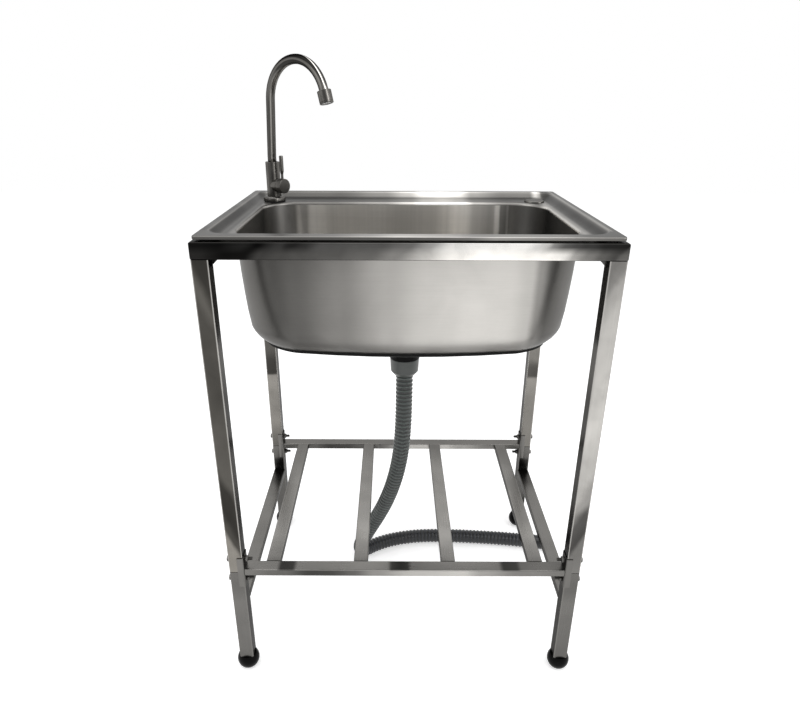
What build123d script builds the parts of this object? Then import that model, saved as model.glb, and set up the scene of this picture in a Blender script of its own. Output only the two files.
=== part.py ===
from build123d import *
from math import atan2, cos, pi, radians, sin, tan
import os

os.makedirs("parts", exist_ok=True)

# Camping sink: a pressed basin on a knock-down stand of square tube, in millimetres.
# The origin is on the floor under the middle of the rim, +X to the right, +Y to the rear, +Z up.

# Running fits and seats
running_fit = 0.05
seat_gap = 0.1

# Basin, pressed from one sheet
rim_length = 600
rim_depth = 450
rim_height = 810
sheet = 0.8
rim_lip = 4.8
rim_corner = 6
rim_edge = 1.5
side_flange = 10.5
front_flange = 20
recess_run = 14.3
recess_drop = 10
recess_corner = 34
recess_bend = 4
mouth_edge = 1.2
bowl_length = 519
bowl_width = 324
bowl_middle = -18
bowl_corner = 66
bowl_edge = 5
bowl_depth = 197
bowl_draft = 5.5
base_corner = 118
base_radius = 42
pad_thickness = 3
pad_margin = 2

# Stand
frame_overhang = 3.5
tube_size = 25
tube_wall = 1
tube_corner = 2.5
flat_tube_height = 13
flat_tube_corner = 2
seam_height = 229.5
seam_gap = 1
side_rail_top = 166
shelf_over_seam = 5.5
slat_count = 4
slat_inset = 45.9
gusset_leg = 12
gusset_thickness = 3
foot_radius = 20
foot_centre = 18.5
foot_shoulder = 31
foot_plug = 20

# Knock-down joint
bracket_sheet = 1.5
bracket_flange = 10
bracket_height = 60
bolt_offset = 20.5
bolt_diameter = 6
bolt_hole = 6.4
bolt_length = 40
bolt_head_across = 10
bolt_head_height = 4
nut_thickness = 5
washer_diameter = 12
washer_thickness = 1

# Tap
tap_inset = 51
tap_setback = 71
tap_hole = 28
tap_gasket_thickness = 2
escutcheon_diameter = 41
escutcheon_height = 8
body_diameter = 26
body_height = 70
shank_diameter = 20.9
shank_length = 55
shank_socket = 10
shank_bore = 12
shank_nut_across = 30
shank_nut_height = 7
shank_washer_diameter = 36
shank_washer_thickness = 3
valve_azimuth = -40
valve_height = 30
boss_diameter = 24.5
boss_reach = 18
cartridge_diameter = 18
cartridge_start = 4
gland_diameter = 14
gland_reach = 20.5
spindle_diameter = 8
spindle_start = 8
spindle_end = 27
knob_diameter = 26.5
knob_start = 19
knob_end = 31.7
knob_recess = 18
knob_clearance = 1.5
edge_round = 1
lever_tip_round = 1.2
lever_reach = 25.5
lever_neck_diameter = 5
lever_diameter = 7.4
lever_neck_height = 22
lever_taper = 5
lever_height = 54
inlet_way = 9
valve_way = 7
outlet_way = 4

# Spout
spout_azimuth = -38
spout_diameter = 16
spout_wall = 1
spout_socket = 26
spout_insertion = 12
spigot_length = 11.5
spigot_wall = 2
o_ring_thickness = 1.9
set_screw_diameter = 3
spout_bend_height = 79
spout_bend_radius = 60
spout_lean = 3.9
spout_riser = 96.6
spout_arc_radius = 68
spout_arc = 160
spout_tail = 8
aerator_diameter = 24
aerator_length = 21
aerator_shell = 2
aerator_insert_height = 8
aerator_hole = 2.4

# Cap on the second tap hole
cap_diameter = 38
cap_height = 3.5
cap_stud_diameter = 8
cap_stud_length = 18
cap_nut_diameter = 36
cap_nut_height = 6

# Drain
drain_hole = 92
seat_diameter = 120
seat_depth = 2.5
cup_flange_diameter = 114
cup_flange_thickness = 1.2
cup_mouth_diameter = 84
cup_base_diameter = 78
cup_depth = 28
cup_sheet = 0.8
cup_openings = 6
cup_opening_diameter = 14
basket_rim_diameter = 90
basket_mouth_diameter = 78
basket_base_diameter = 66
basket_depth = 18
basket_sheet = 0.8
basket_hole_diameter = 4
basket_post_diameter = 8
basket_post_height = 8
basket_knob_radius = 6.4
stopper_diameter = 50
stopper_thickness = 6
drain_body_diameter = 100
drain_body_wall = 3
drain_flange_diameter = 110
drain_flange_thickness = 4
body_gasket_thickness = 2
body_shoulder = 572
body_neck_top = 561
body_neck_diameter = 55
thread_top = 548.5
thread_diameter = 47.2
thread_end = 530.2
drain_bore = 35
spider_openings = 4
spider_turn = 45
spider_opening_diameter = 22
screw_diameter = 6
screw_head_diameter = 11
screw_head_height = 3
screw_length = 16
nut_top = 548
nut_diameter = 53.5
nut_lower_diameter = 51
nut_cone_top = 523
nut_bottom = 514
nut_bottom_diameter = 37
nut_bore_diameter = 33
nut_washer_thickness = 6

# Drain hose
hose_diameter = 32
hose_root_diameter = 28.4
hose_bore = 26
rib_pitch = 8.4
rib_step = 0.01
rib_rise = 0.2
rib_crest = 0.6
rib_fall = 0.8
span_bands = 8
cuff_length = 34
cuff_wall = 2
cuff_overlap = 20
hose_route = [
    (0, -18, 530),
    (0, -18, 458),
    (-1.5, -16, 388),
    (-7, -6, 322),
    (-18, 9, 260),
    (-34, 27, 200),
    (-55, 46, 143),
    (-79, 60, 90),
    (-97, 70, 43),
    (-87, 92, 16.5),
    (-57, 115, 16.5),
    (-14, 134, 16.5),
    (45, 146, 16.5),
    (115, 146, 16.5),
    (190, 141, 16.5),
    (262, 133.5, 16.5),
    (330, 122.5, 16.5),
]

# Levels and places worked out from the sizes above
deck_height = rim_height - recess_drop
bowl_floor = deck_height - bowl_depth
bowl_underside = bowl_floor - sheet
recess_slope = atan2(recess_drop, recess_run)
mouth_length = rim_length - 2 * side_flange
mouth_width = rim_depth - side_flange - front_flange
mouth_middle = (front_flange - side_flange) / 2
frame_length = rim_length + 2 * frame_overhang
frame_depth = rim_depth + 2 * frame_overhang
leg_x = (frame_length - tube_size) / 2
leg_y = (frame_depth - tube_size) / 2
inner_face = frame_length / 2 - tube_size
web_face = inner_face - seat_gap - bracket_sheet
joint_levels = [seam_height - bolt_offset, seam_height + bolt_offset]
shelf_top = seam_height + shelf_over_seam
slat_spacing = 2 * (web_face - slat_inset) / (slat_count - 1)
tap_x = -(rim_length / 2 - tap_inset)
tap_y = rim_depth / 2 - tap_setback
cap_x = -tap_x
corners = {
    "front_left": (-1, -1),
    "front_right": (1, -1),
    "rear_left": (-1, 1),
    "rear_right": (1, 1),
}

# The recess wall of the basin rests on the rounded inner corner of the top rails
wall_shift = sheet * tan(recess_slope / 2)
corner_to_mouth = mouth_length / 2 + wall_shift - inner_face - tube_corner
wall_over_corner = rim_height - sheet - corner_to_mouth * tan(recess_slope)
corner_to_wall = (tube_corner + seat_gap) / cos(recess_slope)
rail_top = wall_over_corner - corner_to_wall + tube_corner
rail_bottom = rail_top - tube_size


def save(piece, name):
    piece.part.label = name
    export_step(piece.part, f"parts/{name}.step")


def pressed_form(skin):
    # Everything above one face of the pressed sheet: skin is the depth of that face in the metal
    shift = skin * tan(recess_slope / 2)
    deck = deck_height - skin
    with BuildPart() as form:
        with BuildSketch(Plane.XY.offset(bowl_floor - skin)):
            with Locations((0, bowl_middle)):
                RectangleRounded(
                    bowl_length - 2 * bowl_draft + 2 * skin,
                    bowl_width - 2 * bowl_draft + 2 * skin,
                    base_corner + skin,
                )
        with BuildSketch(Plane.XY.offset(deck)):
            with Locations((0, bowl_middle)):
                RectangleRounded(bowl_length + 2 * skin, bowl_width + 2 * skin, bowl_corner + skin)
        loft()
        fillet(form.faces().sort_by(Axis.Z)[0].edges(), base_radius + skin)
        with BuildSketch(Plane.XY.offset(deck)):
            with Locations((0, mouth_middle)):
                RectangleRounded(
                    mouth_length - 2 * recess_run + 2 * shift,
                    mouth_width - 2 * recess_run + 2 * shift,
                    recess_corner - recess_run + shift,
                )
        with BuildSketch(Plane.XY.offset(rim_height - skin)):
            with Locations((0, mouth_middle)):
                RectangleRounded(
                    mouth_length + 2 * shift,
                    mouth_width + 2 * shift,
                    recess_corner + shift,
                )
        loft()
        ledge = form.faces().filter_by(Plane.XY).sort_by(Axis.Z)[-2]
        fillet(ledge.inner_wires()[0].edges(), bowl_edge - skin)
        ledge = form.faces().filter_by(Plane.XY).sort_by(Axis.Z)[-2]
        fillet(ledge.outer_wire().edges(), recess_bend + skin)
        with BuildSketch(Plane.XY.offset(bowl_floor - skin)):
            with Locations((0, bowl_middle)):
                Circle(seat_diameter / 2 + skin)
        extrude(amount=-seat_depth)
    return form.part


# Basin
underside = pressed_form(sheet)
cavity = pressed_form(0)
with BuildPart() as sink_basin:
    with BuildSketch(Plane.XY.offset(rim_height)):
        RectangleRounded(rim_length, rim_depth, rim_corner)
    extrude(amount=-rim_lip)
    fillet(sink_basin.faces().sort_by(Axis.Z)[-1].edges(), rim_edge)
    with BuildSketch(Plane.XY.offset(rim_height - sheet)):
        RectangleRounded(rim_length - 2 * sheet, rim_depth - 2 * sheet, rim_corner - sheet)
    extrude(amount=-rim_lip, mode=Mode.SUBTRACT)
    add(underside)
    add(cavity, mode=Mode.SUBTRACT)
    fillet(sink_basin.faces().sort_by(Axis.Z)[-1].inner_wires()[0].edges(), mouth_edge)
    with BuildSketch(Plane.XY.offset(deck_height)):
        with Locations((tap_x, tap_y), (cap_x, tap_y)):
            Circle(tap_hole / 2)
    extrude(amount=-2 * sheet, mode=Mode.SUBTRACT)
    with BuildSketch(Plane.XY.offset(bowl_floor)):
        with Locations((0, bowl_middle)):
            Circle(drain_hole / 2)
    extrude(amount=-seat_depth - 2 * sheet, mode=Mode.SUBTRACT)
save(sink_basin, "sink_basin")

with BuildPart() as sound_pad:
    with BuildSketch(Plane.XY.offset(bowl_underside)):
        with Locations((0, bowl_middle)):
            RectangleRounded(
                bowl_length - 2 * bowl_draft - 2 * base_radius,
                bowl_width - 2 * bowl_draft - 2 * base_radius,
                base_corner - base_radius,
            )
            Circle(seat_diameter / 2 + sheet + pad_margin, mode=Mode.SUBTRACT)
    extrude(amount=-pad_thickness)
save(sound_pad, "sound_pad")


# Stand
def tube(start, end, across, width, height, corner):
    # A rectangular tube between two points, its width along the direction across
    run = Vector(*end) - Vector(*start)
    with BuildPart() as length:
        with BuildSketch(Plane(origin=start, x_dir=across, z_dir=run)):
            RectangleRounded(width, height, corner)
            RectangleRounded(
                width - 2 * tube_wall,
                height - 2 * tube_wall,
                corner - tube_wall,
                mode=Mode.SUBTRACT,
            )
        extrude(amount=run.length)
    return length


def bolt_holes(side, end, levels):
    # What the bolts of one leg take away, along X through the leg and its bracket
    with BuildPart() as holes:
        for level in levels:
            with BuildSketch(Plane(origin=(side * leg_x, end * leg_y, level), z_dir=(1, 0, 0))):
                Circle(bolt_hole / 2)
            extrude(amount=tube_size, both=True)
    return holes


rail_turns = {
    "front": (0, frame_length, frame_depth / 2),
    "right": (90, frame_depth, frame_length / 2),
    "rear": (180, frame_length, frame_depth / 2),
    "left": (270, frame_depth, frame_length / 2),
}
for side, (turn, length, reach) in rail_turns.items():
    facing = Plane.XY.rotated((0, 0, turn))
    with BuildPart() as top_rail:
        with BuildSketch(facing.offset(rail_bottom)):
            with BuildLine():
                Polyline(
                    (-length / 2, -reach),
                    (length / 2, -reach),
                    (length / 2 - tube_size, -reach + tube_size),
                    (-length / 2 + tube_size, -reach + tube_size),
                    close=True,
                )
            make_face()
        extrude(amount=tube_size)
        fillet(top_rail.edges().filter_by(Axis((0, 0, 0), facing.x_dir)), tube_corner)
        with Locations(facing.location * Location((0, tube_size / 2 - reach, rail_top - tube_size / 2))):
            Box(length, tube_size - 2 * tube_wall, tube_size - 2 * tube_wall, mode=Mode.SUBTRACT)
    save(top_rail, f"top_rail_{side}")

with BuildPart() as corner_gussets:
    for side, end in corners.values():
        with BuildSketch(Plane.XZ.offset(-end * leg_y)):
            with BuildLine():
                Polyline(
                    (side * inner_face, rail_bottom),
                    (side * (inner_face - gusset_leg), rail_bottom),
                    (side * inner_face, rail_bottom - gusset_leg),
                    close=True,
                )
            make_face()
        extrude(amount=gusset_thickness / 2, both=True)
save(corner_gussets, "corner_gussets")

for corner, (side, end) in corners.items():
    x = side * leg_x
    y = end * leg_y
    seam_top = (x, y, seam_height + seam_gap / 2)
    upper_tube = tube(seam_top, (x, y, rail_bottom), (1, 0, 0), tube_size, tube_size, tube_corner)
    with BuildPart() as upper_leg:
        add(upper_tube.part)
        add(bolt_holes(side, end, joint_levels).part, mode=Mode.SUBTRACT)
    save(upper_leg, f"upper_leg_{corner}")
    seam_bottom = (x, y, seam_height - seam_gap / 2)
    lower_tube = tube((x, y, foot_shoulder), seam_bottom, (1, 0, 0), tube_size, tube_size, tube_corner)
    with BuildPart() as lower_leg:
        add(lower_tube.part)
        add(bolt_holes(side, end, joint_levels).part, mode=Mode.SUBTRACT)
    save(lower_leg, f"lower_leg_{corner}")

leg_gap = leg_y - tube_size / 2
for side, x in (("left", -leg_x), ("right", leg_x)):
    z = side_rail_top - flat_tube_height / 2
    ends = ((x, -leg_gap, z), (x, leg_gap, z))
    side_rail = tube(*ends, (1, 0, 0), tube_size, flat_tube_height, flat_tube_corner)
    save(side_rail, f"side_rail_{side}")

shelf_level = shelf_top - flat_tube_height / 2
for side, y in (("front", -leg_y), ("rear", leg_y)):
    ends = ((-web_face, y, shelf_level), (web_face, y, shelf_level))
    shelf_rail = tube(*ends, (0, 1, 0), tube_size, flat_tube_height, flat_tube_corner)
    save(shelf_rail, f"shelf_rail_{side}")

for number in range(slat_count):
    x = number * slat_spacing - web_face + slat_inset
    ends = ((x, -leg_gap, shelf_level), (x, leg_gap, shelf_level))
    shelf_slat = tube(*ends, (1, 0, 0), tube_size, flat_tube_height, flat_tube_corner)
    save(shelf_slat, f"shelf_slat_{number + 1}")

with BuildPart() as feet:
    for side, end in corners.values():
        x = side * leg_x
        y = end * leg_y
        with BuildSketch(Plane(origin=(x, y, 0), x_dir=(1, 0, 0), z_dir=(0, -1, 0))) as half:
            with Locations((0, foot_centre)):
                Circle(foot_radius)
            with Locations((foot_radius, foot_shoulder / 2)):
                Rectangle(2 * foot_radius, foot_shoulder, mode=Mode.INTERSECT)
        revolve(axis=Axis((x, y, 0), (0, 0, 1)))
        with BuildSketch(Plane.XY.offset(foot_shoulder)):
            with Locations((x, y)):
                RectangleRounded(
                    tube_size - 2 * tube_wall - 2 * seat_gap,
                    tube_size - 2 * tube_wall - 2 * seat_gap,
                    tube_corner,
                )
        extrude(amount=foot_plug)
save(feet, "feet")

# Knock-down joint at the seam
with BuildPart() as joint_brackets:
    for side, end in corners.values():
        y = end * leg_y
        inside = side * (inner_face - seat_gap)
        back = side * web_face
        tip = side * (inner_face + bracket_flange)
        opening = tube_size + 2 * seat_gap
        with BuildSketch(Plane.XY.offset(seam_height - bracket_height / 2)) as channel:
            with Locations(((back + tip) / 2, y)):
                Rectangle(abs(tip - back), opening + 2 * bracket_sheet)
            outer = channel.vertices().sort_by_distance((0, y))[0:2]
            fillet(outer, tube_corner + bracket_sheet)
            with Locations(((inside + tip) / 2, y)):
                Rectangle(abs(tip - inside), opening, mode=Mode.SUBTRACT)
            inner = channel.vertices().filter_by_position(Axis.X, inside - 0.01, inside + 0.01)
            fillet(inner, tube_corner)
        extrude(amount=bracket_height)
        add(bolt_holes(side, end, joint_levels).part, mode=Mode.SUBTRACT)
save(joint_brackets, "joint_brackets")

with BuildPart() as joint_bolts:
    for side, end in corners.values():
        for level in joint_levels:
            head = side * (frame_length / 2 + washer_thickness)
            under_head = Plane(origin=(head, end * leg_y, level), z_dir=(side, 0, 0))
            with BuildSketch(under_head):
                RegularPolygon(bolt_head_across / 2, 6, major_radius=False)
            extrude(amount=bolt_head_height)
            with BuildSketch(under_head):
                Circle(bolt_diameter / 2)
            extrude(amount=-bolt_length)
save(joint_bolts, "joint_bolts")

with BuildPart() as joint_washers:
    for side, end in corners.values():
        for level in joint_levels:
            outer_face = Plane(origin=(side * frame_length / 2, end * leg_y, level), z_dir=(side, 0, 0))
            with BuildSketch(outer_face):
                Circle(washer_diameter / 2)
                Circle(bolt_hole / 2, mode=Mode.SUBTRACT)
            extrude(amount=washer_thickness)
save(joint_washers, "joint_washers")

with BuildPart() as joint_nuts:
    for side, end in corners.values():
        for level in joint_levels:
            web_plane = Plane(origin=(side * web_face, end * leg_y, level), z_dir=(-side, 0, 0))
            with BuildSketch(web_plane):
                RegularPolygon(bolt_head_across / 2, 6, major_radius=False)
                Circle(bolt_diameter / 2 + running_fit, mode=Mode.SUBTRACT)
            extrude(amount=nut_thickness)
save(joint_nuts, "joint_nuts")


# Tap
def ring(centre, level, outer, inner, height):
    # A flat ring standing on a level
    with BuildPart() as made:
        with BuildSketch(Plane.XY.offset(level)):
            with Locations(centre):
                Circle(outer / 2)
                Circle(inner / 2, mode=Mode.SUBTRACT)
        extrude(amount=height)
    return made


tap_centre = (tap_x, tap_y)
body_bottom = deck_height + tap_gasket_thickness
body_top = body_bottom + body_height
valve_level = body_bottom + valve_height - tap_gasket_thickness
valve_direction = Vector(cos(radians(valve_azimuth)), sin(radians(valve_azimuth)), 0)
tap_axis = Vector(tap_x, tap_y, valve_level)


def valve_plane(reach):
    # A plane across the valve's axis at a distance from the tap's axis
    return Plane(origin=tap_axis + valve_direction * reach, x_dir=(0, 0, 1), z_dir=valve_direction)


def valve_cylinder(start, end, diameter):
    # A round bar on the valve's axis between two distances from the tap's axis
    with BuildPart() as bar:
        with BuildSketch(valve_plane(start)):
            Circle(diameter / 2)
        extrude(amount=end - start)
    return bar


shank_hole = shank_diameter + 2 * seat_gap
tap_gasket = ring(tap_centre, deck_height, escutcheon_diameter - 1, shank_hole, tap_gasket_thickness)
save(tap_gasket, "tap_gasket")

with BuildPart() as tap_escutcheon:
    body_hole = body_diameter + 2 * seat_gap
    add(ring(tap_centre, body_bottom, escutcheon_diameter, body_hole, escutcheon_height).part)
    top_edges = tap_escutcheon.faces().sort_by(Axis.Z)[-1].outer_wire().edges()
    fillet(top_edges, escutcheon_height / 2)
save(tap_escutcheon, "tap_escutcheon")

spout_bore = spout_diameter + 2 * running_fit
socket_floor = body_top - spout_socket
set_screw_level = body_top - spout_insertion - set_screw_diameter
screw_plane = Plane(
    origin=Vector(tap_x, tap_y, set_screw_level) - valve_direction * (body_diameter / 2 - seat_gap),
    z_dir=valve_direction,
)
with BuildPart() as tap_body:
    with BuildSketch(Plane.XY.offset(body_bottom)):
        with Locations(tap_centre):
            Circle(body_diameter / 2)
    extrude(amount=body_height)
    chamfer(tap_body.faces().sort_by(Axis.Z)[-1].edges(), edge_round)
    add(valve_cylinder(0, boss_reach, boss_diameter).part)
    cartridge_seat = valve_cylinder(cartridge_start, boss_reach, cartridge_diameter + 2 * seat_gap)
    add(cartridge_seat.part, mode=Mode.SUBTRACT)
    add(valve_cylinder(0, cartridge_start, valve_way).part, mode=Mode.SUBTRACT)
    with BuildSketch(Plane.XY.offset(socket_floor)):
        with Locations(tap_centre):
            Circle(spout_bore / 2)
    extrude(amount=spout_socket, mode=Mode.SUBTRACT)
    with BuildSketch(Plane.XY.offset(body_bottom)):
        with Locations(tap_centre):
            Circle(shank_diameter / 2 + running_fit)
    extrude(amount=shank_socket, mode=Mode.SUBTRACT)
    with BuildSketch(Plane.XY.offset(body_bottom + shank_socket)):
        with Locations(tap_centre):
            Circle(inlet_way / 2)
    extrude(amount=valve_level - body_bottom - shank_socket, mode=Mode.SUBTRACT)
    outlet = tap_axis + valve_direction * (cartridge_start + outlet_way / 2)
    with BuildSketch(Plane(origin=outlet)):
        Circle(outlet_way / 2)
    extrude(amount=socket_floor - valve_level, mode=Mode.SUBTRACT)
    with BuildSketch(screw_plane.offset(-1)):
        Circle(set_screw_diameter / 2 + running_fit)
    extrude(amount=body_diameter / 2, mode=Mode.SUBTRACT)
save(tap_body, "tap_body")

shank_bottom = deck_height - shank_length
with BuildPart() as tap_shank:
    shank_height = body_bottom + shank_socket - seat_gap - shank_bottom
    add(ring(tap_centre, shank_bottom, shank_diameter, shank_bore, shank_height).part)
    chamfer(tap_shank.faces().sort_by(Axis.Z)[0].outer_wire().edges(), edge_round)
save(tap_shank, "tap_shank")

deck_underside = deck_height - sheet
washer_level = deck_underside - shank_washer_thickness
shank_washer = ring(tap_centre, washer_level, shank_washer_diameter, shank_hole, shank_washer_thickness)
save(shank_washer, "shank_washer")

with BuildPart() as shank_nut:
    with BuildSketch(Plane.XY.offset(washer_level)):
        with Locations(tap_centre):
            RegularPolygon(shank_nut_across / 2, 6, major_radius=False)
            Circle(shank_hole / 2, mode=Mode.SUBTRACT)
    extrude(amount=-shank_nut_height)
save(shank_nut, "shank_nut")

spindle_bore = spindle_diameter + 2 * running_fit
with BuildPart() as valve_cartridge:
    add(valve_cylinder(cartridge_start + seat_gap, boss_reach - seat_gap, cartridge_diameter).part)
    add(valve_cylinder(boss_reach - seat_gap, gland_reach, gland_diameter).part)
    add(valve_cylinder(spindle_start - 1, gland_reach, spindle_bore).part, mode=Mode.SUBTRACT)
    add(valve_cylinder(cartridge_start, spindle_start - 1, valve_way).part, mode=Mode.SUBTRACT)
save(valve_cartridge, "valve_cartridge")

save(valve_cylinder(spindle_start, spindle_end, spindle_diameter), "valve_spindle")

knob_bore_start = gland_reach + knob_clearance
with BuildPart() as lever_knob:
    add(valve_cylinder(knob_start, knob_end, knob_diameter).part)
    fillet(lever_knob.edges().filter_by(GeomType.CIRCLE), edge_round)
    add(valve_cylinder(knob_start, knob_bore_start, knob_recess).part, mode=Mode.SUBTRACT)
    add(valve_cylinder(knob_bore_start, spindle_end + seat_gap, spindle_bore).part, mode=Mode.SUBTRACT)
    with BuildSketch(Plane(origin=tap_axis + valve_direction * lever_reach)):
        Circle(lever_neck_diameter / 2 + running_fit)
    extrude(amount=knob_diameter, mode=Mode.SUBTRACT)
save(lever_knob, "lever_knob")

lever_foot = spindle_diameter / 2 + running_fit
with BuildPart() as lever_rod:
    lever_root = tap_axis + valve_direction * lever_reach
    lever_plane = Plane(origin=lever_root, x_dir=(1, 0, 0), z_dir=(0, -1, 0))
    with BuildSketch(lever_plane):
        with BuildLine():
            Polyline(
                (0, lever_foot),
                (lever_neck_diameter / 2, lever_foot),
                (lever_neck_diameter / 2, lever_neck_height),
                (lever_diameter / 2, lever_neck_height + lever_taper),
                (lever_diameter / 2, lever_height),
                (0, lever_height),
                close=True,
            )
        make_face()
    revolve(axis=Axis(lever_root, (0, 0, 1)))
    fillet(lever_rod.faces().sort_by(Axis.Z)[-1].edges(), lever_tip_round)
save(lever_rod, "lever_rod")

# Spout: upright with a slight lean, then a gooseneck
spout_direction = Vector(cos(radians(spout_azimuth)), sin(radians(spout_azimuth)), 0)
spout_plane = Plane(
    origin=(tap_x, tap_y, deck_height),
    x_dir=spout_direction,
    z_dir=spout_direction.cross(Vector(0, 0, 1)),
)
tube_foot = body_top - spout_insertion - deck_height
with BuildLine() as spout_line:
    upright = Line((0, tube_foot), (0, spout_bend_height))
    lean_bend = JernArc(upright @ 1, upright % 1, spout_bend_radius, -spout_lean)
    riser = Line(lean_bend @ 1, lean_bend @ 1 + lean_bend % 1 * spout_riser)
    gooseneck = JernArc(riser @ 1, riser % 1, spout_arc_radius, -spout_arc)
    Line(gooseneck @ 1, gooseneck @ 1 + gooseneck % 1 * spout_tail)
spout_path = spout_plane.from_local_coords(spout_line.wires()[0])
with BuildPart() as spout_tube:
    with BuildSketch(Plane.XY.offset(deck_height + tube_foot)):
        with Locations(tap_centre):
            Circle(spout_diameter / 2)
            Circle(spout_diameter / 2 - spout_wall, mode=Mode.SUBTRACT)
    sweep(path=spout_path)
save(spout_tube, "spout_tube")

spigot_top = deck_height + tube_foot
spigot_bore = spout_diameter - 2 * spout_wall - 2 * spigot_wall
o_ring_major = spout_diameter / 2 - o_ring_thickness / 2
o_ring_level = spigot_top - spigot_length + 2 * o_ring_thickness
groove_radius = o_ring_major - o_ring_thickness / 2 - running_fit
with BuildPart() as spout_spigot:
    add(ring(tap_centre, spigot_top - spigot_length, spout_diameter, spigot_bore, spigot_length).part)
    neck = spout_diameter - 2 * spout_wall - 2 * running_fit
    add(ring(tap_centre, spigot_top, neck, spigot_bore, spout_insertion).part)
    for level, width in ((o_ring_level, o_ring_thickness), (set_screw_level, set_screw_diameter)):
        groove_width = width + 4 * seat_gap
        groove = ring(tap_centre, level - groove_width / 2, spout_bore, 2 * groove_radius, groove_width)
        add(groove.part, mode=Mode.SUBTRACT)
save(spout_spigot, "spout_spigot")

with BuildPart() as spout_o_ring:
    with Locations((tap_x, tap_y, o_ring_level)):
        Torus(o_ring_major, o_ring_thickness / 2)
save(spout_o_ring, "spout_o_ring")

with BuildPart() as spout_set_screw:
    with BuildSketch(screw_plane):
        Circle(set_screw_diameter / 2)
    extrude(amount=body_diameter / 2 - spout_diameter / 2 + spout_wall - 2 * seat_gap)
save(spout_set_screw, "spout_set_screw")

tube_end = spout_path @ 1
flow = spout_path % 1
aerator_side = spout_direction.cross(flow)
aerator_plane = Plane(origin=tube_end, x_dir=aerator_side.cross(flow), z_dir=aerator_side)
aerator_axis = Axis(tube_end, flow)
mouth = aerator_length - spout_tail
with BuildPart() as aerator_housing:
    with BuildSketch(aerator_plane):
        with BuildLine():
            Polyline(
                (spout_diameter / 2 + running_fit, spout_tail),
                (aerator_diameter / 2 - 1, spout_tail),
                (aerator_diameter / 2, spout_tail - 1),
                (aerator_diameter / 2, 1 - mouth),
                (aerator_diameter / 2 - 1, -mouth),
                (aerator_diameter / 2 - aerator_shell, -mouth),
                (aerator_diameter / 2 - aerator_shell, -seat_gap),
                (spout_diameter / 2 + running_fit, -seat_gap),
                close=True,
            )
        make_face()
    revolve(axis=aerator_axis)
save(aerator_housing, "aerator_housing")

insert_radius = aerator_diameter / 2 - aerator_shell - running_fit
insert_face = Plane(origin=tube_end + flow * (mouth - 1), z_dir=flow)
with BuildPart() as aerator_insert:
    with BuildSketch(insert_face):
        Circle(insert_radius)
        for count, reach in ((1, 0), (6, insert_radius / 3), (12, insert_radius * 2 / 3)):
            with PolarLocations(reach, count):
                Circle(aerator_hole / 2, mode=Mode.SUBTRACT)
    extrude(amount=-aerator_insert_height)
save(aerator_insert, "aerator_insert")

# Cap on the second tap hole
with BuildPart() as hole_cap:
    with BuildSketch(Plane.XY.offset(deck_height)):
        with Locations((cap_x, tap_y)):
            Circle(cap_diameter / 2)
    extrude(amount=cap_height)
    fillet(hole_cap.faces().sort_by(Axis.Z)[-1].edges(), cap_height * 0.7)
    with BuildSketch(Plane.XY.offset(deck_height)):
        with Locations((cap_x, tap_y)):
            Circle(cap_stud_diameter / 2)
    extrude(amount=-cap_stud_length)
save(hole_cap, "hole_cap")

with BuildPart() as hole_cap_nut:
    with BuildSketch(Plane.XY.offset(deck_underside)):
        with Locations((cap_x, tap_y)):
            Circle(cap_nut_diameter / 2)
            Circle(cap_stud_diameter / 2 + running_fit, mode=Mode.SUBTRACT)
    extrude(amount=-cap_nut_height / 2)
    with BuildSketch(Plane.XY.offset(deck_underside)):
        with Locations((cap_x, tap_y)):
            RegularPolygon(cap_stud_diameter, 6)
            Circle(cap_stud_diameter / 2 + running_fit, mode=Mode.SUBTRACT)
    extrude(amount=-cap_nut_height)
save(hole_cap_nut, "hole_cap_nut")

# Drain, on a vertical axis through the middle of the bowl
drain_centre = (0, bowl_middle)
drain_axis = Axis((0, bowl_middle, 0), (0, 0, 1))
drain_plane = Plane(origin=(0, bowl_middle, 0), x_dir=(1, 0, 0), z_dir=(0, -1, 0))


def turned(points):
    # A piece turned about the drain's axis from an outline of radius and height
    with BuildPart() as made:
        with BuildSketch(drain_plane):
            with BuildLine():
                Polyline(*points, close=True)
            make_face()
        revolve(axis=drain_axis)
    return made


flange_bottom = bowl_floor - cup_flange_thickness
cup_floor = bowl_floor - cup_depth
seat_level = bowl_floor - seat_depth
gasket_height = flange_bottom - seat_level
cup_gasket = ring(drain_centre, seat_level, cup_flange_diameter - 2, drain_hole, gasket_height)
save(cup_gasket, "cup_gasket")

screw_hole = screw_diameter + 2 * seat_gap
with BuildPart() as strainer_cup:
    add(
        turned(
            [
                (cup_mouth_diameter / 2, bowl_floor),
                (cup_flange_diameter / 2, bowl_floor),
                (cup_flange_diameter / 2, flange_bottom),
                (cup_mouth_diameter / 2 + cup_sheet, flange_bottom),
                (cup_base_diameter / 2 + cup_sheet, cup_floor - cup_sheet),
                (screw_hole / 2, cup_floor - cup_sheet),
                (screw_hole / 2, cup_floor),
                (cup_base_diameter / 2, cup_floor),
            ]
        ).part
    )
    with BuildSketch(Plane.XY.offset(cup_floor + 1)):
        with Locations(drain_centre):
            with PolarLocations(cup_base_diameter / 4 + 2, cup_openings):
                Circle(cup_opening_diameter / 2)
    extrude(amount=-2 * cup_sheet - 1, mode=Mode.SUBTRACT)
save(strainer_cup, "strainer_cup")

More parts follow.
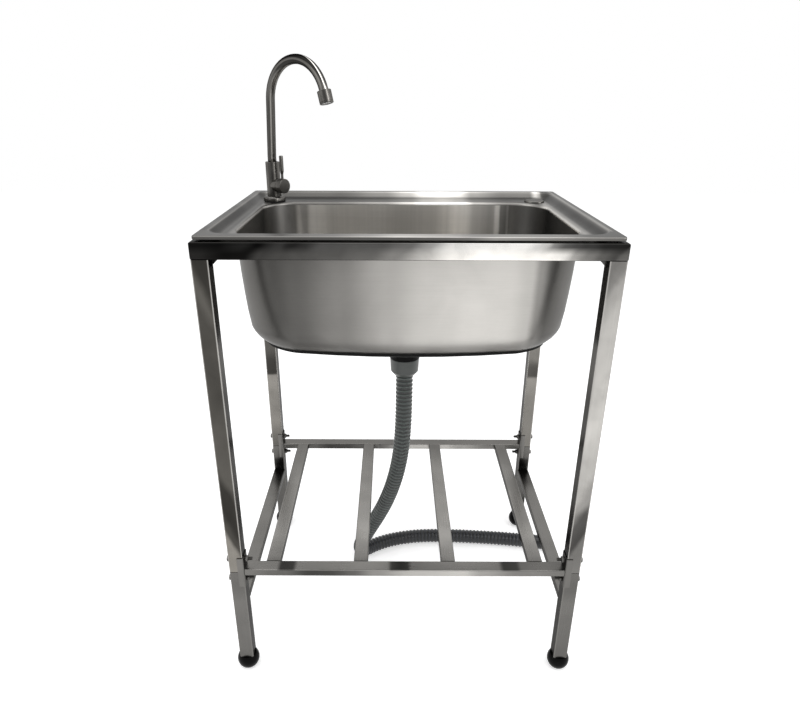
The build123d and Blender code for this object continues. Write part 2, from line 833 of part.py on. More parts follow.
basket_floor = bowl_floor - basket_depth
with BuildPart() as strainer_basket:
    rim_bottom = bowl_floor + seat_gap
    add(
        turned(
            [
                (basket_mouth_diameter / 2, rim_bottom + basket_sheet),
                (basket_rim_diameter / 2, rim_bottom + basket_sheet),
                (basket_rim_diameter / 2, rim_bottom),
                (basket_mouth_diameter / 2 + basket_sheet, rim_bottom),
                (basket_base_diameter / 2 + basket_sheet, basket_floor - basket_sheet),
                (0, basket_floor - basket_sheet),
                (0, bowl_floor + basket_post_height),
                (basket_post_diameter / 2, bowl_floor + basket_post_height),
                (basket_post_diameter / 2, basket_floor),
                (basket_base_diameter / 2, basket_floor),
            ]
        ).part
    )
    with BuildSketch(Plane.XY.offset(basket_floor + 1)):
        with Locations(drain_centre):
            for count, reach in ((8, basket_base_diameter * 0.22), (14, basket_base_diameter * 0.36)):
                with PolarLocations(reach, count):
                    Circle(basket_hole_diameter / 2)
    extrude(amount=-2 * basket_sheet - 1, mode=Mode.SUBTRACT)
    with Locations((0, bowl_middle, bowl_floor + basket_post_height)):
        Sphere(basket_knob_radius)
save(strainer_basket, "strainer_basket")

with BuildPart() as basket_stopper:
    stopper_top = basket_floor - basket_sheet - seat_gap
    stopper_bottom = stopper_top - stopper_thickness
    stopper_hole = screw_head_diameter + 4
    add(ring(drain_centre, stopper_bottom, stopper_diameter, stopper_hole, stopper_thickness).part)
    chamfer(basket_stopper.faces().sort_by(Axis.Z)[0].outer_wire().edges(), 1.5)
save(basket_stopper, "basket_stopper")

body_face = bowl_underside - seat_depth - body_gasket_thickness
body_gasket = ring(drain_centre, body_face, drain_flange_diameter, drain_hole, body_gasket_thickness)
save(body_gasket, "body_gasket")

spider_top = cup_floor - cup_sheet - seat_gap
body_inside = drain_body_diameter / 2 - drain_body_wall
neck_inside = body_neck_diameter / 2 - drain_body_wall
with BuildPart() as drain_body:
    add(
        turned(
            [
                (body_inside, body_face),
                (drain_flange_diameter / 2, body_face),
                (drain_flange_diameter / 2, body_face - drain_flange_thickness),
                (drain_body_diameter / 2, body_face - drain_flange_thickness),
                (drain_body_diameter / 2, body_shoulder),
                (body_neck_diameter / 2, body_neck_top),
                (body_neck_diameter / 2, thread_top),
                (thread_diameter / 2, thread_top),
                (thread_diameter / 2, thread_end),
                (drain_bore / 2, thread_end),
                (drain_bore / 2, thread_top),
                (neck_inside, body_neck_top),
                (screw_diameter, spider_top - screw_length),
                (screw_diameter / 2 + running_fit, spider_top - screw_length),
                (screw_diameter / 2 + running_fit, spider_top),
                (body_inside, spider_top),
            ]
        ).part
    )
    with BuildSketch(Plane.XY.offset(spider_top)):
        with Locations(drain_centre):
            opening_reach = screw_diameter + spider_opening_diameter / 2
            with PolarLocations(opening_reach, spider_openings, start_angle=spider_turn):
                Circle(spider_opening_diameter / 2)
    extrude(amount=body_neck_top - 2 - spider_top, mode=Mode.SUBTRACT)
save(drain_body, "drain_body")

with BuildPart() as cup_screw:
    with BuildSketch(Plane.XY.offset(cup_floor)):
        with Locations(drain_centre):
            Circle(screw_head_diameter / 2)
    extrude(amount=screw_head_height)
    with BuildSketch(Plane.XY.offset(cup_floor)):
        with Locations(drain_centre):
            Circle(screw_diameter / 2)
    extrude(amount=-screw_length)
save(cup_screw, "cup_screw")

nut_shoulder = thread_end - nut_washer_thickness
coupling_nut = turned(
    [
        (thread_diameter / 2 + running_fit, nut_top),
        (nut_diameter / 2, nut_top),
        (nut_lower_diameter / 2, nut_cone_top),
        (nut_bottom_diameter / 2, nut_bottom),
        (nut_bore_diameter / 2, nut_bottom),
        (nut_bore_diameter / 2, nut_shoulder),
        (thread_diameter / 2 + running_fit, nut_shoulder),
    ]
)
save(coupling_nut, "coupling_nut")

washer_hole = hose_diameter + 2 * seat_gap
nut_washer = ring(drain_centre, nut_shoulder, thread_diameter, washer_hole, nut_washer_thickness)
save(nut_washer, "nut_washer")

# Drain hose: ribs as one ruled loft, four circles to a rib, round a plain bore
route = [Vector(*point) for point in hose_route]
radii = []
for before, at, after in zip(route, route[1:], route[2:]):
    turn = radians((at - before).get_angle(after - at))
    radii.append(0.45 * min((at - before).length, (after - at).length) / tan(turn / 2))
print("hose bend radii", [round(radius) for radius in radii])
with BuildLine() as hose_line:
    FilletPolyline(*route, radius=radii)
hose_path = hose_line.wires()[0]


def hose_section(distance):
    # A plane across the hose at a distance along it, its X axis held steady
    place = hose_path.position_at(distance, position_mode=PositionMode.LENGTH)
    run = hose_path.tangent_at(distance, position_mode=PositionMode.LENGTH)
    return Plane(origin=place, x_dir=(0, 1, 0), z_dir=run)


plain_end = route[0].Z - nut_bottom
rib_count = int((hose_path.length - plain_end - hose_diameter) / rib_pitch)
stations = [(0, hose_diameter), (plain_end, hose_diameter)]
for rib in range(rib_count):
    start = plain_end + rib * rib_pitch
    stations.append((start + rib_step * rib_pitch, hose_root_diameter))
    stations.append((start + rib_rise * rib_pitch, hose_diameter))
    stations.append((start + rib_crest * rib_pitch, hose_diameter))
    stations.append((start + rib_fall * rib_pitch, hose_root_diameter))
stations.append((hose_path.length, hose_root_diameter))
spans = []
for first in range(0, len(stations) - 1, span_bands):
    with BuildPart() as span:
        for distance, diameter in stations[first : first + span_bands + 1]:
            with BuildSketch(hose_section(distance)):
                Circle(diameter / 2)
        loft(ruled=True)
    spans.append(span.part)
with BuildPart() as drain_hose:
    add(spans)
    with BuildSketch(hose_section(0)):
        Circle(hose_bore / 2)
    sweep(path=hose_path, mode=Mode.SUBTRACT)
save(drain_hose, "drain_hose")

with BuildPart() as hose_cuff:
    cuff_start = hose_path.length - cuff_overlap
    with BuildSketch(hose_section(cuff_start)):
        Circle(hose_root_diameter / 2 + seat_gap + cuff_wall)
        Circle(hose_root_diameter / 2 + seat_gap, mode=Mode.SUBTRACT)
    extrude(amount=cuff_length)
save(hose_cuff, "hose_cuff")
tube_section = (hose_diameter**2 - hose_bore**2) * pi / 4
unribbed = tube_section * hose_path.length
print("hose volume", round(drain_hose.part.volume), "of", round(unribbed), "without ribs")
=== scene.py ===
import math

import bmesh
from bmesh import ops
import bpy
from mathutils import Matrix, Vector


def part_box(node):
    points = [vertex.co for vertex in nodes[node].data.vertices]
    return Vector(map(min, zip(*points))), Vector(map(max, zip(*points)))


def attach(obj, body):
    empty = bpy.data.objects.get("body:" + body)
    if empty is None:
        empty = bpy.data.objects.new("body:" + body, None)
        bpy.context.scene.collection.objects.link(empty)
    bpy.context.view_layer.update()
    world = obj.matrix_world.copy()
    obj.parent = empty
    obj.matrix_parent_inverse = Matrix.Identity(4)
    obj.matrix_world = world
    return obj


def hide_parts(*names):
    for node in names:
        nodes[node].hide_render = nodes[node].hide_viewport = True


# Camping sink on a knock-down stand. Everything is in metres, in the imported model's frame.

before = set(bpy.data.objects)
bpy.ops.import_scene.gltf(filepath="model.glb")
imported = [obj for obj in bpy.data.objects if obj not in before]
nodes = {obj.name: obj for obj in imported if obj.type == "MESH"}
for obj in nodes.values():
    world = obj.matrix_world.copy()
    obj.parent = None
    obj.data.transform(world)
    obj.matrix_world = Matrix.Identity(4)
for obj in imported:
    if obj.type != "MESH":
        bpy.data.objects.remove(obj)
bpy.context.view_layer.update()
scene = bpy.context.scene
print("frame loaded:", len(nodes), "nodes")


def addObject(name, data):
    made = bpy.data.objects.new(name, data)
    scene.collection.objects.link(made)
    return made


# Camera, at the photograph's angle
cameraView = {
    "place": (-0.0234, -1.0947, 0.9888),
    "tilt": 66.2,
    "roll": 0.195,
    "lens": 28.55,
    "shift": (0.0102, 0.0234),
}


def placeCamera(view):
    data = bpy.data.cameras.new("camera")
    data.lens = view["lens"]
    data.shift_x, data.shift_y = view["shift"]
    camera = addObject("camera", data)
    tilt = Matrix.Rotation(math.radians(view["tilt"]), 3, "X")
    roll = Matrix.Rotation(math.radians(view["roll"]), 3, "Z")
    camera.location = view["place"]
    camera.rotation_euler = (tilt @ roll).to_euler()
    scene.camera = camera


placeCamera(cameraView)
print("camera placed")


# Node helpers
def feed(tree, node, inputs):
    # An input takes a link from another node's socket, or a plain value
    for key, value in inputs.items():
        if isinstance(value, bpy.types.NodeSocket):
            tree.links.new(value, node.inputs[key])
        else:
            node.inputs[key].default_value = value


def addNode(tree, kind, inputs, **settings):
    node = tree.nodes.new(kind)
    for key, value in settings.items():
        setattr(node, key, value)
    feed(tree, node, inputs)
    return node.outputs


def calc(tree, operation, first, second=0, third=0, clamp=False):
    inputs = {0: first, 1: second, 2: third}
    return addNode(tree, "ShaderNodeMath", inputs, operation=operation, use_clamp=clamp)[0]


def remap(tree, value, start, end, low=0, high=1):
    # From the range start to end into low to high, held at both ends
    inputs = {"Value": value, "From Min": start, "From Max": end, "To Min": low, "To Max": high}
    return addNode(tree, "ShaderNodeMapRange", inputs)[0]


def mixColor(tree, factor, first, second, blend="MIX"):
    # the Mix node's colours are its inputs 6 and 7 and its output 2
    inputs = {0: factor, 6: first, 7: second}
    return addNode(tree, "ShaderNodeMix", inputs, data_type="RGBA", blend_type=blend)[2]


def shaded(tree, colour, shade):
    return mixColor(tree, 1, colour, shade, "MULTIPLY")


def coords(tree, kind="Object"):
    return addNode(tree, "ShaderNodeTexCoord", {})[kind]


def parted(tree, vector):
    return addNode(tree, "ShaderNodeSeparateXYZ", {0: vector})


def place(tree, axis):
    return parted(tree, coords(tree))[axis]


def stretched(tree, amounts):
    inputs = {0: coords(tree), 1: amounts}
    return addNode(tree, "ShaderNodeVectorMath", inputs, operation="MULTIPLY")[0]


def noise(tree, vector, scale, detail, **others):
    inputs = {"Vector": vector, "Scale": scale, "Detail": detail, **others}
    return addNode(tree, "ShaderNodeTexNoise", inputs)[0]


def tone(level, warmth=0.03):
    # A steel colour from its lightness in percent; warmth leans it to brown
    light = level / 100
    return (light * (1 + warmth), light, light * (1 - 1.7 * warmth), 1)


def bands(tree, position, stops, warmth=0.03):
    # Soft reflections along one direction: stops give the lightness in percent at each place, in order
    low, high = min(stops), max(stops)
    ramp = tree.nodes.new("ShaderNodeValToRGB")
    feed(tree, ramp, {"Fac": remap(tree, position, low, high)})
    ramp.color_ramp.interpolation = "EASE"
    elements = ramp.color_ramp.elements
    elements.remove(elements[1])
    for index, (spot, level) in enumerate(stops.items()):
        share = (spot - low) / (high - low)
        element = elements[0] if index == 0 else elements.new(share)
        element.position = share
        element.color = tone(level, warmth)
    return ramp.outputs["Color"]


# Effects that several materials share
def newGroup(name, inputs, build):
    # build takes the group's tree and inputs, and returns its outputs by name
    group = bpy.data.node_groups.new(name, "ShaderNodeTree")
    for label, value in inputs.items():
        kind = "NodeSocketVector" if isinstance(value, tuple) else "NodeSocketFloat"
        group.interface.new_socket(label, in_out="INPUT", socket_type=kind).default_value = value
    made = build(group, group.nodes.new("NodeGroupInput").outputs)
    for label in made:
        group.interface.new_socket(label, in_out="OUTPUT", socket_type="NodeSocketFloat")
    feed(group, group.nodes.new("NodeGroupOutput"), made)
    return group


def makeFacing(tree, given):
    # How a face is turned, from its normal; Edge is 1 half way between the front and a side
    parts = parted(tree, coords(tree, "Normal"))
    side, front, top = (calc(tree, "MULTIPLY", parts[axis], parts[axis]) for axis in "XYZ")
    edge = calc(tree, "MULTIPLY", calc(tree, "MULTIPLY", side, front), 4, clamp=True)
    return {"Side": side, "Top": top, "Edge": edge, "Right": parts["X"], "Up": parts["Z"]}


def makeBrushing(tree, given):
    # Fine lines of a brushed sheet: Stretch sets how dense they are along each axis
    lines = noise(tree, stretched(tree, given["Stretch"]), 1, 4, Roughness=0.6)
    swing = calc(tree, "SUBTRACT", lines, 0.5)
    shade = calc(tree, "MULTIPLY_ADD", swing, given["Depth"], 0.93)
    return {"Shade": shade, "Roughness": calc(tree, "MULTIPLY", swing, 0.12), "Height": lines}


def makeSmudges(tree, given):
    # Cloudy handling marks
    cloud = noise(tree, coords(tree), given["Scale"], 5, Distortion=0.6)
    mask = remap(tree, cloud, 0.35, 0.7)
    swing = calc(tree, "MULTIPLY", mask, given["Amount"])
    return {"Shade": calc(tree, "SUBTRACT", 1, swing), "Mask": mask}


def makePitting(tree, given):
    # The fine skin of moulded plastic and rubber
    fine = noise(tree, coords(tree), given["Scale"], 3)
    return {"Height": fine, "Mask": noise(tree, coords(tree), 28, 4)}


facing = newGroup("facing", {}, makeFacing)
brushing = newGroup("brushing", {"Stretch": (6, 900, 900), "Depth": 0.1}, makeBrushing)
smudges = newGroup("smudges", {"Scale": 9, "Amount": 0.12}, makeSmudges)
pitting = newGroup("pitting", {"Scale": 900}, makePitting)


def placeGroup(tree, group, **inputs):
    return addNode(tree, "ShaderNodeGroup", inputs, node_tree=group)


def newMaterial(name):
    material = bpy.data.materials.new(name)
    material.use_nodes = True
    tree = material.node_tree
    return material, tree, tree.nodes["Principled BSDF"]


def relief(tree, height, strength, depth):
    inputs = {"Strength": strength, "Distance": depth, "Height": height}
    return addNode(tree, "ShaderNodeBump", inputs)[0]


def steel(name, colour, stretch, depth, roughness, cloud=0.12, cloudScale=9, bump=0.00002, glancing=0.4):
    # colour is a look; stretch and depth are those of its brushing, and glancing is its tone at the edge
    material, tree, shader = newMaterial(name)
    lines = placeGroup(tree, brushing, Stretch=stretch, Depth=depth)
    marks = placeGroup(tree, smudges, Amount=cloud, Scale=cloudScale)
    rough = calc(tree, "MULTIPLY_ADD", marks["Mask"], 0.08, roughness)
    feed(tree, shader, {
        "Base Color": shaded(tree, shaded(tree, colour(tree), lines["Shade"]), marks["Shade"]),
        "Roughness": calc(tree, "ADD", rough, lines["Roughness"], clamp=True),
        "Metallic": 1,
        "Specular Tint": (glancing, glancing, glancing, 1),
        "Normal": relief(tree, lines["Height"], 0.25, bump),
    })
    return material


# A look is a tone or a function that builds bands in a tree
def readLook(tree, look):
    return look(tree) if callable(look) else tone(look)


def faced(front, side, top, edge=None):
    # Painted light and shade: the way a face turns decides which of these painted tones it shows; edge is a
    # painted highlight line where the front meets a side
    def build(tree):
        turn = placeGroup(tree, facing)
        colour = mixColor(tree, turn["Side"], readLook(tree, front), readLook(tree, side))
        if edge:
            colour = mixColor(tree, turn["Edge"], colour, tone(edge))
        return mixColor(tree, turn["Top"], colour, readLook(tree, top))
    return build


def along(axis, stops, lean=None, wobble=0, warmth=0.03):
    # Painted reflection bands along an axis; lean tilts them along a second axis, wobble makes their edges
    # wavy
    def build(tree):
        position = place(tree, axis)
        if lean:
            other, amount, level = lean
            offset = calc(tree, "SUBTRACT", place(tree, other), level)
            position = calc(tree, "MULTIPLY_ADD", offset, amount, position)
        if wobble:
            sway = calc(tree, "SUBTRACT", noise(tree, coords(tree), 22, 2), 0.5)
            position = calc(tree, "MULTIPLY_ADD", sway, wobble, position)
        return bands(tree, position, stops, warmth)
    return build


def split(axis, below, above, start=-0.01, end=0.01):
    # One look below a place on an axis and another above it
    def build(tree):
        share = remap(tree, place(tree, axis), start, end)
        return mixColor(tree, share, readLook(tree, below), readLook(tree, above))
    return build


def rounding(stops):
    # Painted reflection bands round an upright piece, from its left (-1) to its right (1)
    def build(tree):
        return bands(tree, placeGroup(tree, facing)["Right"], stops, 0.04)
    return build


# Steel of the basin: its tones are painted reflections and painted shade, lightness in percent
basinTones = {
    "outside": {
        -0.26: 10, -0.235: 7, -0.205: 6.5, -0.17: 10, -0.1: 20, -0.03: 37, 0.03: 50, 0.09: 57, 0.15: 55,
        0.183: 46, 0.197: 25, 0.214: 8, 0.228: 8, 0.245: 11,
    },
    "outsideEnd": {-0.181: 20, -0.12: 20, -0.06: 42, 0.0: 48, 0.06: 30, 0.145: 14},
    "outsideRise": {0.6: 50, 0.609: 85, 0.622: 70, 0.65: 93, 0.71: 100, 0.79: 97},
    "inside": {
        -0.27: 15, -0.25: 12, -0.237: 20, -0.226: 13, -0.212: 17, -0.2: 55, -0.19: 50, -0.18: 85, -0.165: 80,
        -0.14: 60, -0.06: 60, 0.0: 50, 0.05: 55, 0.08: 75, 0.097: 100, 0.117: 100, 0.135: 66, 0.166: 52,
        0.1715: 60, 0.174: 100, 0.18: 100, 0.184: 32, 0.195: 24, 0.197: 42, 0.2: 17, 0.215: 12, 0.25: 10,
        0.27: 13,
    },
    "rearDeck": {
        -0.3: 10, -0.2918: 10, -0.2895: 20, -0.286: 6, -0.278: 10, -0.274: 16, -0.27: 11, -0.262: 30,
        -0.24: 9, -0.14: 10, -0.04: 19, 0.01: 38, 0.04: 72, 0.075: 86, 0.108: 70, 0.135: 28, 0.2: 14,
        0.25: 15, 0.262: 50, 0.268: 36, 0.273: 9, 0.283: 7.5, 0.288: 16, 0.2905: 42, 0.293: 14, 0.3: 15,
    },
    "frontLedge": {
        -0.3: 15, -0.2: 16, -0.11: 24, -0.06: 40, -0.01: 66, 0.05: 56, 0.1: 34, 0.14: 36, 0.2: 30, 0.26: 13,
        0.3: 12,
    },
    "frontRim": {-0.3: 8, -0.02: 7.8, 0.03: 10, 0.075: 13, 0.12: 24, 0.19: 20, 0.25: 15, 0.3: 14},
    # relief paints highlight lines on the rounded edges and shade on the sunk deck
    "relief": {0.793: 100, 0.7962: 220, 0.799: 130, 0.8: 95, 0.804: 85, 0.8075: 100, 0.8093: 200, 0.81: 100},
    # rimEnds, floor and underside are painted tones for faces turned sideways, up and down
    "rimEnds": 10,
    "floor": 34,
    "underside": 30,
    "frontStrip": (-0.187, -0.18),
    "deckLevel": (0.7935, 0.7955),
    "streaks": (140, 90, 1.5),
}


def basinInside(tree):
    # Painted reflections on the walls, a lighter painted tone on the floor, and painted highlights and shade
    # on the deck
    streaks = noise(tree, stretched(tree, basinTones["streaks"]), 1, 3)
    walls = along("X", basinTones["inside"], wobble=0.004)(tree)
    walls = shaded(tree, walls, calc(tree, "MULTIPLY_ADD", streaks, 0.2, 0.91))
    walls = mixColor(tree, placeGroup(tree, facing)["Top"], walls, tone(basinTones["floor"]))
    rim = along("X", basinTones["frontRim"], wobble=0.01)
    front = faced(rim, basinTones["rimEnds"], along("X", basinTones["frontLedge"], wobble=0.01))
    rear = along("X", basinTones["rearDeck"], wobble=0.0006)
    deck = split("Y", front, rear, *basinTones["frontStrip"])(tree)
    deck = shaded(tree, deck, along("Z", basinTones["relief"], warmth=0)(tree))
    return mixColor(tree, remap(tree, place(tree, "Z"), *basinTones["deckLevel"]), walls, deck)


def basinOutside(tree):
    # Painted reflections round the outside, a painted tone underneath, and painted shade towards the bottom
    sides = along("X", basinTones["outside"], wobble=0.004)
    walls = faced(sides, along("Y", basinTones["outsideEnd"]), basinTones["underside"])(tree)
    return shaded(tree, walls, along("Z", basinTones["outsideRise"], wobble=0.012, warmth=0)(tree))


basinInner = steel("brushedBasin", basinInside, (9, 500, 700), 0.12, 0.3, bump=0.000004, glancing=0.7)
basinOuter = steel("basinOutside", basinOutside, (9, 700, 500), 0.12, 0.34, 0.1, glancing=0.7)

# Steel of the stand, polished; its tones are painted reflections, lightness in percent
standTones = {
    "railUpper": {
        -0.3: 0.7, -0.27: 0.5, -0.24: 1.6, -0.215: 0.4, -0.18: 4, -0.165: 1.5, -0.15: 3, -0.125: 8,
        -0.04: 9.5, -0.005: 15, 0.02: 34, 0.055: 80, 0.08: 96, 0.15: 97, 0.175: 66, 0.192: 26, 0.207: 10,
        0.222: 7, 0.235: 5, 0.265: 2.2, 0.295: 1.8, 0.3: 5,
    },
    "railLower": {
        -0.3: 1.8, -0.25: 0.5, -0.225: 0.6, -0.2: 4, -0.17: 6, -0.1: 8.5, -0.05: 11, -0.015: 20, 0.03: 50,
        0.07: 86, 0.1: 100, 0.19: 95, 0.215: 80, 0.232: 36, 0.25: 20, 0.27: 11, 0.29: 6.5, 0.3: 12,
    },
    "railEnd": {-0.236: 5, -0.19: 12, -0.12: 10, -0.05: 34, 0.03: 50, 0.09: 20, 0.17: 7, 0.236: 5},
    "frontLeft": {
        0.2295: 20, 0.275: 22, 0.3: 6, 0.34: 3, 0.385: 3.5, 0.42: 8.5, 0.5: 8, 0.6: 6, 0.68: 6.5, 0.72: 10,
        0.755: 4, 0.785: 3.5,
    },
    "frontRight": {
        0.2295: 16, 0.28: 15, 0.3: 6, 0.34: 8, 0.375: 24, 0.42: 40, 0.57: 46, 0.67: 43, 0.73: 34, 0.76: 22,
        0.785: 18,
    },
    "rearLeft": {0.2295: 13, 0.3: 20, 0.39: 23, 0.41: 24, 0.416: 4.5, 0.445: 5, 0.48: 9, 0.6: 6, 0.785: 5},
    "rearRight": {
        0.2295: 18, 0.37: 20, 0.405: 22, 0.413: 6.5, 0.43: 7, 0.46: 16, 0.52: 22, 0.6: 22, 0.785: 18,
    },
    "inner": {0.2295: 7, 0.33: 8, 0.4: 12, 0.55: 11, 0.62: 17, 0.68: 16, 0.73: 14, 0.785: 13},
    "lowerFront": {0.03: 13, 0.1: 14, 0.16: 15, 0.2: 12, 0.229: 13},
    "lowerRear": {0.03: 12, 0.13: 11, 0.17: 10, 0.18: 2.5, 0.19: 3, 0.203: 12, 0.229: 14},
    "shelfFront": {
        -0.28: 16, -0.21: 11, -0.165: 5, -0.13: 6, -0.09: 10, -0.05: 22, 0.03: 42, 0.1: 46, 0.135: 30,
        0.2: 19, 0.28: 15,
    },
    "shelfTop": {
        -0.28: 23, -0.223: 25, -0.215: 6, -0.195: 7, -0.186: 28, -0.03: 28, -0.022: 8, 0.004: 8, 0.013: 25,
        0.163: 25, 0.173: 7, 0.195: 8, 0.204: 20, 0.28: 16,
    },
    "slatTop": {-0.21: 22, -0.185: 29, -0.13: 40, -0.05: 36, 0.08: 31, 0.21: 21},
    "sideRailTop": {-0.21: 22, 0.1: 24, 0.17: 12, 0.2: 3},
}


def standBands(axis, name, **settings):
    return along(axis, standTones[name], **settings)


# Painted reflection bands on the stand's tubes, with painted tones for faces turned sideways and up
railFace = split(
    "Z",
    standBands("X", "railLower", lean=("Z", -0.6, 0.79), wobble=0.022),
    standBands("X", "railUpper", lean=("Z", -0.8, 0.79), wobble=0.026, warmth=0.02),
    0.7865, 0.7965,
)
railEnd = standBands("Y", "railEnd", lean=("Z", 0.7, 0.79), wobble=0.02)
frontLegs = split(
    "X",
    standBands("Z", "frontLeft", lean=("X", 2.5, -0.291), wobble=0.035, warmth=0.06),
    standBands("Z", "frontRight", lean=("X", -2, 0.291), wobble=0.03),
)
rearLegs = split(
    "X",
    standBands("Z", "rearLeft", wobble=0.01, warmth=0.05),
    standBands("Z", "rearRight", wobble=0.01, warmth=0.05),
)
# The legs' rounded edges get a painted highlight line
legFace = faced(split("Y", frontLegs, rearLegs), standBands("Z", "inner", wobble=0.02), 20, 42)
lowerLegs = split("Y", standBands("Z", "lowerFront", wobble=0.02), standBands("Z", "lowerRear"))
shelfFace = faced(standBands("X", "shelfFront"), 12, split("Y", standBands("X", "shelfTop"), 22))
slatFace = faced(16, 10, standBands("Y", "slatTop", wobble=0.04))
sideFace = faced(14, 12, standBands("Y", "sideRailTop"))

grain = {"X": (5, 500, 500), "Y": (500, 5, 500), "Z": (500, 500, 5)}  # polishing lines along a tube
# Each finish below paints different tones on faces turned to the front, sideways and up: painted light and
# shade
topRailSteel = steel("topRailSteel", faced(railFace, railEnd, 3), grain["X"], 0.12, 0.16, 0.16, 30)
upperLegSteel = steel("upperLegSteel", legFace, grain["Z"], 0.16, 0.18, 0.22, 16)
lowerLegSteel = steel("lowerLegSteel", faced(lowerLegs, 8, 20, 20), grain["Z"], 0.14, 0.24, 0.14)
sideRailSteel = steel("sideRailSteel", sideFace, grain["Y"], 0.12, 0.24, 0.16)
shelfRailSteel = steel("shelfRailSteel", shelfFace, grain["X"], 0.12, 0.24, 0.14)
slatSteel = steel("slatSteel", slatFace, grain["Y"], 0.12, 0.24, 0.18, 14)
bracketSteel = steel("bracketSteel", faced(16, 12, 16), (300, 300, 300), 0.1, 0.3, 0.2)
boltSteel = steel("boltSteel", faced(12, 8, 16), (200, 200, 200), 0.1, 0.3, 0.2)
strainerSteel = steel("strainerSteel", faced(35, 30, 50), (60, 60, 700), 0.1, 0.18, 0.08)

# Satin nickel of the tap; its tones are painted reflections, highlights and shade
tapTones = {
    "riser": {
        -1: 12, -0.85: 7, -0.6: 11, -0.35: 6, -0.05: 8, 0.13: 38, 0.3: 26, 0.42: 7, 0.7: 11, 0.9: 9, 1: 18,
    },
    "body": {-1: 7, -0.75: 17, -0.4: 7, 0.1: 6, 0.28: 14, 0.4: 36, 0.5: 12, 0.68: 15, 1: 20},
    "arch": {-1: 15, -0.5: 22, -0.1: 18, 0.15: 12, 0.42: 2, 1: 0.4},
    "shine": {0: 0, 0.06: 0, 0.115: 100, 0.16: 85, 0.23: 12, 0.5: 0},
    "archStart": (0.975, 1.01),
    "hollow": (0.02, 0.12),
    "top": 32,
    "dark": 3.5,
    "bright": 92,
}


def archLook(tree):
    # The riser has a painted highlight streak down its middle; the arch has painted shade on top, a painted
    # highlight streak where it falls, and painted shade on its inner side there
    turn = placeGroup(tree, facing)

    def both(limit):
        # How far a face turns sideways and up, or sideways and down, at once
        right, up = (calc(tree, limit, turn[label], 0) for label in ("Right", "Up"))
        return calc(tree, "MULTIPLY", right, up)

    arch = bands(tree, turn["Up"], tapTones["arch"], 0.04)
    share = remap(tree, place(tree, "Z"), *tapTones["archStart"])
    colour = mixColor(tree, share, rounding(tapTones["riser"])(tree), arch)
    # hollow is painted shade
    hollow = remap(tree, both("MINIMUM"), *tapTones["hollow"])
    colour = mixColor(tree, hollow, colour, tone(tapTones["dark"]))
    shine = bands(tree, both("MAXIMUM"), tapTones["shine"], 0)
    return mixColor(tree, shine, colour, tone(tapTones["bright"]))


def tapLook(tree):
    # Painted reflection bands round the body, with a painted tone on faces turned up
    top = placeGroup(tree, facing)["Top"]
    flat = calc(tree, "MULTIPLY", top, top)
    return mixColor(tree, flat, rounding(tapTones["body"])(tree), tone(tapTones["top"]))


def brassLook(tree):
    return (0.62, 0.42, 0.16, 1)


nickel = steel("satinNickel", tapLook, (900, 900, 30), 0.2, 0.26, 0.3, 60)
spoutNickel = steel("spoutNickel", archLook, (900, 900, 30), 0.16, 0.24, 0.12, 40)
brassMetal = steel("plainBrass", brassLook, (200, 200, 900), 0.1, 0.3, 0.15)
print("metals made")


def moulded(name, colour, roughness, variation=0.12, shine=0.5):
    material, tree, shader = newMaterial(name)
    skin = placeGroup(tree, pitting)
    deep, pale = ((*(c * part for c in colour), 1) for part in (1 - variation, 1 + variation))
    feed(tree, shader, {
        "Base Color": mixColor(tree, skin["Mask"], deep, pale),
        "Roughness": calc(tree, "MULTIPLY_ADD", skin["Mask"], 0.12, roughness - 0.06),
        "Specular IOR Level": shine,
        "Normal": relief(tree, skin["Height"], 0.4, 0.00003),
    })
    return material


blackRubber = moulded("blackRubber", (0.006, 0.006, 0.006), 0.6, shine=0.15)
blackPlastic = moulded("blackPlastic", (0.002, 0.002, 0.002), 0.24, shine=0.06)
whitePlastic = moulded("whitePlastic", (0.72, 0.72, 0.7), 0.4)
nutPlastic = moulded("nutPlastic", (0.05, 0.056, 0.052), 0.32, 0.1)

hoseTones = {
    "hanging": (0.055, 0.067, 0.062, 1),
    "lying": (0.009, 0.011, 0.016, 1),
    "fade": (0.03, 0.16),
    "groove": 0.18,
}


def makeHosePlastic():
    # Grey-green where the hose hangs, darker and bluer where it lies on the floor; the darkening there is
    # painted shade
    material, tree, shader = newMaterial("hosePlastic")
    skin = placeGroup(tree, pitting, Scale=700)
    height = remap(tree, place(tree, "Z"), *hoseTones["fade"])
    colour = mixColor(tree, height, hoseTones["lying"], hoseTones["hanging"])
    colour = shaded(tree, colour, calc(tree, "MULTIPLY_ADD", skin["Mask"], 0.3, 0.85))
    # the layout's V is 0 at the root of a groove and 1 on a rib's crest
    rise = parted(tree, coords(tree, "UV"))["Y"]
    # the groove tone is painted shade at the root of each groove
    feed(tree, shader, {
        "Base Color": shaded(tree, colour, remap(tree, rise, 0.05, 0.8, hoseTones["groove"])),
        "Roughness": calc(tree, "MULTIPLY_ADD", skin["Mask"], 0.15, 0.2),
        "Normal": relief(tree, skin["Height"], 0.3, 0.00003),
    })
    return material


hosePlastic = makeHosePlastic()
print("plastics made")


# Mesh helpers
def thicken(piece, thickness):
    wall = piece.modifiers.new("wall", "SOLIDIFY")
    wall.thickness = thickness
    wall.offset = -1
    return wall


